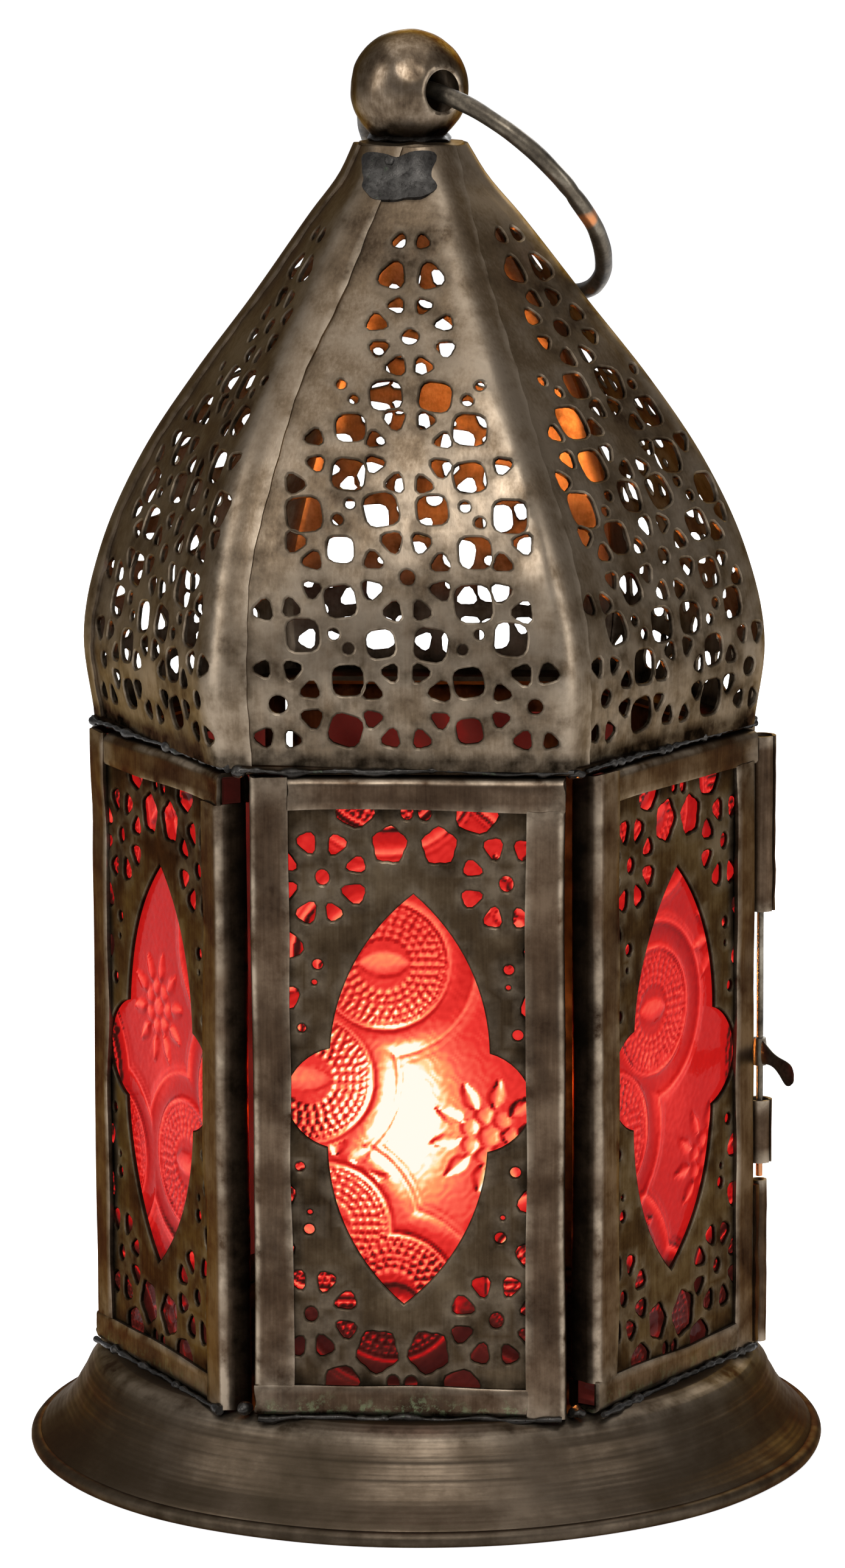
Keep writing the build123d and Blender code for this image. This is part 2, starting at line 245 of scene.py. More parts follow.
def strip_ends(rows: int, across: int) -> list[tuple[int, ...]]:
    """Faces that close both ends of a swept strip of sheet.

    Args:
        rows: number of rows of points.
        across: points in a row, which go out along the front and come home along the back.

    Returns:
        The four-sided faces of both ends.
    """
    faces = []
    for base, flip in ((0, False), ((rows - 1) * across, True)):
        for k in range(across // 2 - 1):
            ring = (base + k, base + k + 1, base + across - 2 - k, base + across - 1 - k)
            faces.append(ring[::-1] if flip else ring)
    return faces


def lathe(profile: list[tuple[float, float]], segments: int = 96, closed: bool = False) -> Shape:
    """Turn a profile about the Z axis.

    Args:
        profile: (radius, height) points, outside first and upwards; an open one starts and ends
            on the axis, and a point on the axis closes the shape there.
        segments: number of steps round the axis.
        closed: the last point joins the first.

    Returns:
        The turned shape.
    """
    turns = np.linspace(0, 2 * pi, segments, endpoint=False)
    rows, starts, total = [], [], 0
    for radius, height in profile:
        starts.append(total)
        if radius < 1e-6:
            rows.append(np.array([[0.0, 0.0, height]]))
        else:
            ring = [radius * np.cos(turns), radius * np.sin(turns), np.full(segments, height)]
            rows.append(np.column_stack(ring))
        total += len(rows[-1])
    faces: list[tuple[int, ...]] = []
    last = len(profile) if closed else len(profile) - 1
    for i in range(last):
        j = (i + 1) % len(profile)
        for k in range(segments):
            n = (k + 1) % segments
            if len(rows[i]) == 1:
                faces.append((starts[i], starts[j] + n, starts[j] + k))
            elif len(rows[j]) == 1:
                faces.append((starts[i] + k, starts[i] + n, starts[j]))
            else:
                faces.append((starts[i] + k, starts[i] + n, starts[j] + n, starts[j] + k))
    return Shape(np.vstack(rows), faces)


def sweep(path: Array, section: Callable[[float], Array], closed: bool = False) -> Shape:
    """Carry a section along a path.

    Args:
        path: points of the path.
        section: gives the section's (m, 2) points for a place from 0 to 1 along the path.
        closed: the path's end joins its start; otherwise both ends are capped.

    Returns:
        The swept shape.
    """
    count = len(path)
    ahead = np.roll(path, -1, axis=0) - np.roll(path, 1, axis=0)
    if not closed:
        ahead[0] = path[1] - path[0]
        ahead[-1] = path[-1] - path[-2]
    ahead /= np.linalg.norm(ahead, axis=1)[:, None]
    side = np.cross(ahead[0], [0.0, 0.0, 1.0])
    if np.linalg.norm(side) < 1e-3:
        side = np.array([1.0, 0.0, 0.0])
    rows = []
    for i in range(count):
        side = side - ahead[i] * (side @ ahead[i])
        side /= np.linalg.norm(side)
        over = np.cross(side, ahead[i])
        flat = section(i / (count - 1))
        rows.append(path[i] + flat[:, :1] * side + flat[:, 1:] * over)
    across = len(rows[0])
    faces = rows_joined(count, across, closed, True)
    if not closed:
        faces.append(tuple(range(across)))
        faces.append(tuple(reversed(range((count - 1) * across, count * across))))
    return Shape(np.vstack(rows), faces)


def round_section(radius: float, points: int = 20) -> Array:
    """Points of a round section."""
    turns = np.linspace(0, 2 * pi, points, endpoint=False)
    return np.column_stack([radius * np.cos(turns), radius * np.sin(turns)])


def arc_points(centre: tuple[float, float], radius: float, start: float, end: float, steps: int) -> list:
    """Points along an arc, with its angles in degrees."""
    turns = [radians(start + (end - start) * k / steps) for k in range(steps + 1)]
    return [(centre[0] + radius * cos(t), centre[1] + radius * sin(t)) for t in turns]


def arc_through(a: tuple, b: tuple, c: tuple, steps: int) -> list[tuple[float, float]]:
    """Points of the arc from a through b to c.

    Args:
        a: first point.
        b: a point on the way.
        c: last point.
        steps: number of steps.

    Returns:
        The points, both ends included.
    """
    ax, ay, bx, by, cx, cy = *a, *b, *c
    d = 2 * (ax * (by - cy) + bx * (cy - ay) + cx * (ay - by))
    aa, bb, cc = ax * ax + ay * ay, bx * bx + by * by, cx * cx + cy * cy
    ux = (aa * (by - cy) + bb * (cy - ay) + cc * (ay - by)) / d
    uy = (aa * (cx - bx) + bb * (ax - cx) + cc * (bx - ax)) / d
    start, end = atan2(ay - uy, ax - ux), atan2(cy - uy, cx - ux)
    turn = (end - start + pi) % (2 * pi) - pi
    radius = hypot(ax - ux, ay - uy)
    turns = [start + turn * k / steps for k in range(steps + 1)]
    return [(ux + radius * cos(t), uy + radius * sin(t)) for t in turns]


# Finishes.


class Recipe:
    """A material's nodes, with short calls for what the finishes share."""

    def __init__(self, name: str) -> None:
        """Start a material with one principled shader."""
        self.material = bpy.data.materials.new(name)
        self.material.use_nodes = True
        self.tree = self.material.node_tree
        self.tree.nodes.clear()
        output = self.tree.nodes.new("ShaderNodeOutputMaterial")
        self.shader = self.tree.nodes.new("ShaderNodeBsdfPrincipled")
        self.tree.links.new(self.shader.outputs[0], output.inputs[0])
        self.place = self.tree.nodes.new("ShaderNodeTexCoord").outputs["Object"]

    def link(self, source: Socket, node: bpy.types.Node, name: str | int) -> None:
        """Join an output to a named input."""
        self.tree.links.new(source, node.inputs[name])

    def noise(
        self, scale: float, detail: float = 4, rough: float = 0.55, stretch: tuple = (1, 1, 1), turn: tuple = (0, 0, 0)
    ) -> Socket:
        """Add a noise in the object's own space.

        Args:
            scale: features in each metre.
            detail: number of finer layers.
            rough: strength of the finer layers.
            stretch: further scale along each axis.
            turn: turn of the axes, in degrees.

        Returns:
            The noise's value.
        """
        mapping = self.tree.nodes.new("ShaderNodeMapping")
        mapping.inputs["Scale"].default_value = stretch
        mapping.inputs["Rotation"].default_value = [radians(t) for t in turn]
        self.link(self.place, mapping, "Vector")
        node = self.tree.nodes.new("ShaderNodeTexNoise")
        node.inputs["Scale"].default_value = scale
        node.inputs["Detail"].default_value = detail
        node.inputs["Roughness"].default_value = rough
        self.link(mapping.outputs[0], node, "Vector")
        return node.outputs[0]

    def weight(self, name: str) -> Socket:
        """Value of a finish weight.

        Args:
            name: name of the weight on the mesh.

        Returns:
            The value.
        """
        node = self.tree.nodes.new("ShaderNodeAttribute")
        node.attribute_name = name
        return node.outputs["Fac"]

    def ramp(self, value: Socket, stops: list[tuple[float, Colour]]) -> Socket:
        """Turn a value into a colour.

        Args:
            value: the value.
            stops: places from 0 to 1 with their colours.

        Returns:
            The colour.
        """
        node = self.tree.nodes.new("ShaderNodeValToRGB")
        while len(node.color_ramp.elements) < len(stops):
            node.color_ramp.elements.new(0.5)
        for element, (place, colour) in zip(node.color_ramp.elements, stops):
            element.position = place
            element.color = (*colour, 1)
        self.link(value, node, 0)
        return node.outputs[0]

    def span(
        self, value: Socket, low: float, high: float, to_low: float = 0, to_high: float = 1
    ) -> Socket:
        """Carry a value from one range to another, held at its ends.

        Args:
            value: the value.
            low: start of its range.
            high: end of its range.
            to_low: what low becomes.
            to_high: what high becomes.

        Returns:
            The carried value.
        """
        node = self.tree.nodes.new("ShaderNodeMapRange")
        for name, number in zip(("From Min", "From Max", "To Min", "To Max"), (low, high, to_low, to_high)):
            node.inputs[name].default_value = number
        self.link(value, node, "Value")
        return node.outputs[0]

    def sum(self, a: Socket, b: Socket, share: float) -> Socket:
        """Add a share of b to a.

        Args:
            a: the first value.
            b: the value added.
            share: how much of b is added.

        Returns:
            The sum.
        """
        node = self.tree.nodes.new("ShaderNodeMath")
        node.operation = "MULTIPLY_ADD"
        self.link(b, node, 0)
        node.inputs[1].default_value = share
        self.link(a, node, 2)
        return node.outputs[0]

    def product(self, a: Socket, b: Socket) -> Socket:
        """Multiply two values.

        Args:
            a: one value.
            b: the other.

        Returns:
            The product.
        """
        node = self.tree.nodes.new("ShaderNodeMath")
        node.operation = "MULTIPLY"
        self.link(a, node, 0)
        self.link(b, node, 1)
        return node.outputs[0]

    def mix(
        self, share: Socket, a: Socket, b: Socket | Colour
    ) -> Socket:
        """Mix colour a towards b by a share.

        Args:
            share: how far towards b, from 0 to 1.
            a: one colour.
            b: the other, as a socket or a plain colour.

        Returns:
            The mixed colour.
        """
        node = self.tree.nodes.new("ShaderNodeMix")
        node.data_type = "RGBA"
        self.link(share, node, 0)
        self.link(a, node, 6)
        if isinstance(b, tuple):
            node.inputs[7].default_value = (*b, 1)
        else:
            self.link(b, node, 7)
        return node.outputs[2]

    def colour(self, source: Socket) -> None:
        """Use a colour as the base colour."""
        self.link(source, self.shader, "Base Color")

    def bump(self, height: Socket, depth: float) -> None:
        """Raise the surface by up to a depth in millimetres.

        Args:
            height: the height, from 0 to 1.
            depth: what 1 stands for.
        """
        node = self.tree.nodes.new("ShaderNodeBump")
        node.inputs["Distance"].default_value = depth * MM
        self.link(height, node, "Height")
        self.link(node.outputs[0], self.shader, "Normal")

    def set(self, **values: float | tuple) -> None:
        """Set the shader's own sockets, with _ for a space in their names."""
        for name, value in values.items():
            self.shader.inputs[name.replace("_", " ")].default_value = value


@dataclass(frozen=True)
class Finish:
    """A finish that makes its material once."""

    name: str

    def dressed(self) -> bpy.types.Material:
        """Material of this finish, made the first time that it is asked for."""
        return bpy.data.materials.get(self.name) or self.make()

    def make(self) -> bpy.types.Material:
        """Build the material."""
        raise NotImplementedError


@dataclass(frozen=True)
class AgedMetal(Finish):
    """Antiqued sheet metal: blotched brown patina, hair-fine brushing, rubbed edges with painted sheen, stains and
    painted shade in grooves and recesses.
    """

    dark: Colour = (0.022, 0.013, 0.008)
    mid: Colour = (0.060, 0.037, 0.022)
    light: Colour = (0.116, 0.078, 0.050)
    # Light colour of rubbed metal, also used for the painted sheen band round the dome.
    rubbed: Colour = (0.31, 0.25, 0.185)
    # Near-black colour for stains and for painted shade in grooves and recesses.
    stain_and_shade: Colour = (0.007, 0.005, 0.003)
    crust: Colour = (0.17, 0.21, 0.115)
    edge_tint: Colour = (0.40, 0.33, 0.25)
    metallic: float = 1.0
    smooth: float = 0.30
    dull: float = 0.52
    brush: tuple = (1, 1, 0.05)
    brush_turn: tuple = (0, 28, 0)
    brush_depth: float = 0.012
    blotch: float = 48

    def make(self) -> bpy.types.Material:
        """Build the patina from blotches, brushing, rubbed edges with painted sheen, and stains with painted shade."""
        recipe = Recipe(self.name)
        blotches = recipe.noise(self.blotch, 6, 0.62)
        clouds = recipe.noise(self.blotch * 5, 5, 0.6)
        grain = recipe.noise(2600, 3, 0.7)
        brushing = recipe.noise(2400, 3, 0.6, self.brush, self.brush_turn)
        tone = recipe.sum(recipe.sum(recipe.sum(blotches, clouds, 0.35), brushing, 0.22), grain, 0.10)
        base = recipe.ramp(tone, [(0.62, self.dark), (0.82, self.mid), (1.02, self.light)])
        # Lightened where metal is rubbed and where sheen is painted; darkened by dirt and by painted shade.
        rub_and_sheen = recipe.product(recipe.weight("wear"), recipe.span(clouds, 0.34, 0.62))
        base = recipe.mix(rub_and_sheen, base, self.rubbed)
        soil_and_shade = recipe.product(recipe.weight("grime"), recipe.span(clouds, 0.62, 0.38, 0.55, 1.0))
        base = recipe.mix(soil_and_shade, base, self.stain_and_shade)
        salts = recipe.span(recipe.noise(700, 4, 0.75), 0.50, 0.60)
        base = recipe.mix(recipe.product(recipe.weight("crust"), salts), base, self.crust)
        recipe.colour(base)
        gloss = recipe.sum(recipe.span(tone, 0.6, 1.05, self.dull, self.smooth), soil_and_shade, 0.12)
        recipe.link(gloss, recipe.shader, "Roughness")
        recipe.set(Metallic=self.metallic, Specular_Tint=(*self.edge_tint, 1))
        recipe.bump(recipe.sum(recipe.sum(brushing, clouds, 0.8), grain, 0.5), self.brush_depth)
        return recipe.material


@dataclass(frozen=True)
class PressedGlass(Finish):
    """Red pressed glass with the candle behind it: its glow is painted light given off as emission, and the weight glow
    is how much of the flame it bends to.
    """

    def make(self) -> bpy.types.Material:
        """Build the painted glow, given off as emission, from unlit brown-red up to the flame's own white."""
        recipe = Recipe(self.name)
        seeds = recipe.noise(900, 3, 0.6)
        streaks = recipe.noise(130, 4, 0.6, (1, 1, 0.5))
        level = recipe.sum(recipe.sum(recipe.weight("glow"), streaks, 0.10), seeds, 0.05)
        glow = recipe.ramp(
            level,
            [
                (0.05, (0.016, 0.004, 0.003)),
                (0.22, (0.070, 0.011, 0.008)),
                (0.40, (0.34, 0.006, 0.007)),
                (0.52, (0.55, 0.011, 0.009)),
                (0.62, (0.84, 0.036, 0.028)),
                (0.72, (1.0, 0.14, 0.085)),
                (0.83, (1.0, 0.36, 0.13)),
                (0.92, (1.0, 0.74, 0.36)),
                (0.99, (1.0, 0.97, 0.85)),
            ],
        )
        recipe.link(glow, recipe.shader, "Emission Color")
        recipe.colour(recipe.ramp(streaks, [(0.3, (0.014, 0.0003, 0.0004)), (0.7, (0.024, 0.0005, 0.0006))]))
        recipe.link(recipe.span(streaks, 0.3, 0.7, 0.07, 0.16), recipe.shader, "Roughness")
        recipe.set(Emission_Strength=1.0, IOR=1.5, Specular_IOR_Level=0.02)
        recipe.bump(recipe.sum(seeds, streaks, 2), 0.03)
        return recipe.material


@dataclass(frozen=True)
class CopperedWire(Finish):
    """Blackened steel wire, rubbed through to its copper plating."""

    def make(self) -> bpy.types.Material:
        """Build the wire's black skin and the copper that shows through it."""
        recipe = Recipe(self.name)
        blotches = recipe.noise(120, 5, 0.65)
        grain = recipe.noise(1800, 3, 0.7)
        tone = recipe.sum(blotches, grain, 0.2)
        browns = [(0.45, (0.030, 0.024, 0.018)), (0.62, (0.115, 0.095, 0.070)), (0.78, (0.24, 0.21, 0.165))]
        skin = recipe.ramp(tone, browns)
        bare = recipe.span(recipe.sum(recipe.noise(75, 3, 0.5), recipe.weight("bare"), 0.6), 0.66, 0.74)
        recipe.colour(recipe.mix(bare, skin, (0.62, 0.24, 0.09)))
        recipe.link(recipe.span(tone, 0.4, 0.8, 0.5, 0.28), recipe.shader, "Roughness")
        recipe.set(Metallic=0.95)
        recipe.bump(recipe.sum(grain, blotches, 2), 0.02)
        return recipe.material


@dataclass(frozen=True)
class Solder(Finish):
    """Lead-grey solder, smeared and pitted, with burnt flux and a little green."""

    def make(self) -> bpy.types.Material:
        """Build the grey, the burnt streaks and the specks of green."""
        recipe = Recipe(self.name)
        smear = recipe.noise(150, 5, 0.62)
        specks = recipe.noise(1300, 4, 0.7)
        tone = recipe.sum(smear, specks, 0.35)
        greys = [(0.50, (0.013, 0.011, 0.009)), (0.72, (0.030, 0.027, 0.024)), (0.95, (0.075, 0.070, 0.063))]
        base = recipe.ramp(tone, greys)
        green = recipe.span(recipe.noise(420, 3, 0.6), 0.66, 0.74, 0, 0.3)
        recipe.colour(recipe.mix(green, base, (0.11, 0.16, 0.09)))
        recipe.link(recipe.span(specks, 0.3, 0.7, 0.22, 0.5), recipe.shader, "Roughness")
        recipe.set(Metallic=0.85)
        recipe.bump(recipe.sum(specks, smear, 2), 0.06)
        return recipe.material


@dataclass(frozen=True)
class Aluminium(Finish):
    """Thin rolled aluminium of the tealight's cup."""

    def make(self) -> bpy.types.Material:
        """Build the rolled surface."""
        recipe = Recipe(self.name)
        rolled = recipe.noise(900, 3, 0.6, (1, 1, 0.08))
        recipe.colour(recipe.ramp(rolled, [(0.3, (0.62, 0.62, 0.63)), (0.7, (0.82, 0.82, 0.83))]))
        recipe.link(recipe.span(rolled, 0.3, 0.7, 0.22, 0.38), recipe.shader, "Roughness")
        recipe.set(Metallic=1.0)
        recipe.bump(rolled, 0.01)
        return recipe.material


@dataclass(frozen=True)
class CandleWax(Finish):
    """White candle wax, molten round the wick."""

    def make(self) -> bpy.types.Material:
        """Build the wax with light under its skin."""
        recipe = Recipe(self.name)
        cloud = recipe.noise(160, 4, 0.5)
        recipe.colour(recipe.ramp(cloud, [(0.3, (0.78, 0.70, 0.55)), (0.7, (0.90, 0.86, 0.76))]))
        recipe.link(recipe.span(recipe.weight("molten"), 0, 1, 0.5, 0.06), recipe.shader, "Roughness")
        recipe.set(Subsurface_Weight=0.5, Subsurface_Radius=(0.004, 0.002, 0.001), Subsurface_Scale=1.0)
        recipe.bump(cloud, 0.03)
        return recipe.material


@dataclass(frozen=True)
class CharredWick(Finish):
    """Braided cotton, black at the tip."""

    def make(self) -> bpy.types.Material:
        """Build the braid and its charring."""
        recipe = Recipe(self.name)
        braid = recipe.noise(2200, 2, 0.6, (1, 1, 0.4))
        cotton = recipe.ramp(braid, [(0.3, (0.30, 0.26, 0.19)), (0.7, (0.55, 0.50, 0.40))])
        recipe.colour(recipe.mix(recipe.weight("char"), cotton, (0.012, 0.010, 0.009)))
        recipe.set(Roughness=0.85)
        recipe.bump(braid, 0.12)
        return recipe.material


@dataclass(frozen=True)
class CandleFlame(Finish):
    """Burning candle gas: blue at the root, white-yellow in the body, orange at the tip."""

    def make(self) -> bpy.types.Material:
        """Build the flame's own light."""
        recipe = Recipe(self.name)
        flicker = recipe.noise(60, 2, 0.5)
        level = recipe.sum(recipe.weight("rise"), flicker, 0.08)
        hues = [(0.04, (0.05, 0.10, 0.9)), (0.18, (1.0, 0.55, 0.15))]
        hues += [(0.6, (1.0, 0.78, 0.36)), (1.0, (1.0, 0.42, 0.08))]
        hue = recipe.ramp(level, hues)
        recipe.link(hue, recipe.shader, "Emission Color")
        recipe.colour(hue)
        recipe.set(Emission_Strength=9.0, Roughness=1.0)
        return recipe.material


@dataclass(frozen=True)
class StudioPaper(Finish):
    """Plain pale floor."""

    def make(self) -> bpy.types.Material:
        """Build the pale paper."""
        recipe = Recipe(self.name)
        fibre = recipe.noise(40, 2, 0.5)
        recipe.colour(recipe.ramp(fibre, [(0.3, (0.90, 0.90, 0.90)), (0.7, (0.93, 0.93, 0.93))]))
        recipe.set(Roughness=0.9, Emission_Color=(1, 1, 1, 1))
        seen = recipe.tree.nodes.new("ShaderNodeLightPath").outputs["Is Camera Ray"]
        recipe.link(recipe.span(seen, 0, 1, 0.15, 0.80), recipe.shader, "Emission Strength")
        return recipe.material


SHEET_METAL = AgedMetal("aged_sheet")
FRET_METAL = AgedMetal(
    "aged_fret", dark=(0.018, 0.011, 0.006), mid=(0.047, 0.031, 0.017), light=(0.088, 0.063, 0.038),
    brush_turn=(0, 34, 0)
)
# Lighter than the sheet and fret, partly as a painted highlight for the dome's brighter lighting.
DOME_METAL = AgedMetal(
    "aged_dome", dark=(0.042, 0.028, 0.017), mid=(0.118, 0.084, 0.053), light=(0.23, 0.178, 0.126),
    brush_turn=(0, -62, 20)
)
FOOT_METAL = AgedMetal(
    "spun_foot",
    dark=(0.040, 0.029, 0.018),
    mid=(0.058, 0.042, 0.028),
    light=(0.088, 0.066, 0.046),
    smooth=0.36,
    dull=0.52,
    brush=(0.10, 0.10, 1),
    brush_turn=(0, 0, 0),
)
BALL_METAL = AgedMetal(
    "burnished_ball", mid=(0.100, 0.072, 0.047), light=(0.20, 0.155, 0.112), smooth=0.24, dull=0.44, blotch=110
)
GLASS = PressedGlass("red_pressed_glass")
WIRE = CopperedWire("coppered_wire_finish")
SOLDER = Solder("burnt_solder")
ALUMINIUM = Aluminium("rolled_aluminium")
WAX = CandleWax("candle_wax")
WICK = CharredWick("charred_wick")
FLAME = CandleFlame("candle_flame")
PAPER = StudioPaper("studio_paper")


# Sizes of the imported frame.


@dataclass(frozen=True)
class Plan:
    """Places that the pieces share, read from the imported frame, in millimetres."""

    rim_radius: float
    floor: float
    apothem: float
    panel_half: float
    panel_top: float
    panel_depth: float
    stile_face: float
    rail_face: float
    eave_top: float
    dome_top: float
    ball: tuple[float, float, float]
    ball_radius: float

    @classmethod
    def read(cls) -> "Plan":
        """Read the sizes from the boxes of the frame's nodes."""
        stile_low, stile_high = box_mm("front_stile_right")
        rail_low, rail_high = box_mm("front_rail_top")
        ball_low, ball_high = box_mm("finial_ball")
        ball = (ball_low + ball_high) / 2
        return cls(
            rim_radius=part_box("foot_rim")[1].x / MM,
            floor=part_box("foot_dish")[1].z / MM,
            apothem=-stile_low.y,
            panel_half=stile_high.x,
            panel_top=rail_high.z,
            panel_depth=stile_high.y - stile_low.y,
            stile_face=stile_high.x - stile_low.x,
            rail_face=rail_high.z - rail_low.z,
            eave_top=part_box("eave_ring")[1].z / MM,
            dome_top=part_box("dome_gore_1")[1].z / MM,
            ball=(ball.x, ball.y, ball.z),
            ball_radius=(ball_high.z - ball_low.z) / 2,
        )


# Foot.


@dataclass
class SpunFoot:
    """Spun skirt with fine turned rings, and the rolled wire rim that it stands on."""

    plan: Plan
    shoulder: float = 45.4
    skirt: tuple = ((56.5, 1.3), (55.6, 2.6), (54.4, 3.5), (52.9, 4.8), (50.4, 8.6), (48.9, 11.4), (47.6, 13.0))
    sheet: float = 0.7
    wire: float = 1.1
    ring_pitch: float = 0.85
    ring_depth: float = 0.035
    segments: int = 180

    def skirt_line(self) -> list[tuple[float, float]]:
        """Outer line of the skirt, close enough to hold its turned rings."""
        points = np.array([*self.skirt, (self.shoulder, self.plan.floor)])
        steps = np.r_[0, np.cumsum(np.linalg.norm(np.diff(points, axis=0), axis=1))]
        places = np.linspace(0, steps[-1], 70)
        radii, heights = (smooth_line(steps, points[:, k], places) for k in (0, 1))
        rings = self.ring_depth * np.sin(places * 2 * pi / self.ring_pitch) ** 3
        rings += self.ring_depth * np.sin(places * 2 * pi / (3.3 * self.ring_pitch))
        return list(zip(radii + rings, heights))

    def build(self) -> None:
        """Make the skirt and the rim."""
        line = self.skirt_line()
        top = self.plan.floor
        floor_steps = [(r, top) for r in np.linspace(self.shoulder - 1.5, 1.5, 14)]
        outer = [*line, *floor_steps, (0, top)]
        inner = [(0, top - self.sheet), (self.shoulder - 1, top - self.sheet)]
        inner += [(r - self.sheet, z - self.sheet / 2) for r, z in reversed(line[::4])]
        dish = lathe([*outer, *inner], self.segments)
        radius = np.hypot(dish.points[:, 0], dish.points[:, 1])
        height = dish.points[:, 2]
        seat = self.plan.apothem + 0.8
        # Darker on the floor inside the panels and on the dish's underside.
        soil_and_shade = np.clip((seat - radius) / 1.5, 0, 1) * np.clip(height - 12.6, 0, 1)
        shift = 0.22 * Waves(34, 11).at(dish.points) + 0.05 * Waves(9, 12).at(dish.points)
        shift *= np.clip((height - 2.0) / 3, 0, 1) * np.clip((top - 0.6 - height) / 3, 0, 1)
        away = dish.points[:, :2] / np.maximum(radius, 1e-6)[:, None]
        dish.points[:, :2] += away * shift[:, None]
        outer_count = (len(outer) - 1) * self.segments + 1
        dish.weights = {
            "wear": 0.6 * np.exp(-(((radius - self.shoulder - 1.6) / 1.2) ** 2)),
            "grime": np.where(np.arange(len(radius)) >= outer_count, 0.7, soil_and_shade),
        }
        dish.as_piece("foot_skirt", FOOT_METAL, Slot.FOOT, "root", ("foot_dish",))
        centre = self.plan.rim_radius - self.wire
        section = [(r, max(z, 0.0)) for r, z in arc_points((centre, 1.0), self.wire, -60, 300, 20)[:-1]]
        rim = lathe(section, 200, closed=True)
        rim.points[:, 2] = np.maximum(rim.points[:, 2] + 0.04 * Waves(25, 13).at(rim.points), 0)
        rim.weights = {"wear": np.full(len(rim.points), 0.1), "grime": np.full(len(rim.points), 0.35)}
        rim.as_piece("foot_rolled_rim", FOOT_METAL, Slot.FOOT, "root", ("foot_rim",))


def smooth_line(places: Array, values: Array, wanted: Array) -> Array:
    """Smooth curve through values at uneven places.

    Args:
        places: where the values are, rising.
        values: the values.
        wanted: where the curve is wanted.

    Returns:
        The curve's values there, as a cubic with the slopes of its neighbours.
    """
    slopes = np.gradient(values, places)
    index = np.clip(np.searchsorted(places, wanted) - 1, 0, len(places) - 2)
    width = places[index + 1] - places[index]
    t = (wanted - places[index]) / width
    a, b = values[index], values[index + 1]
    sa, sb = slopes[index] * width, slopes[index + 1] * width
    return (
        a * (2 * t**3 - 3 * t**2 + 1)
        + sa * (t**3 - 2 * t**2 + t)
        + b * (3 * t**2 - 2 * t**3)
        + sb * (t**3 - t**2)
    )


# Candle.


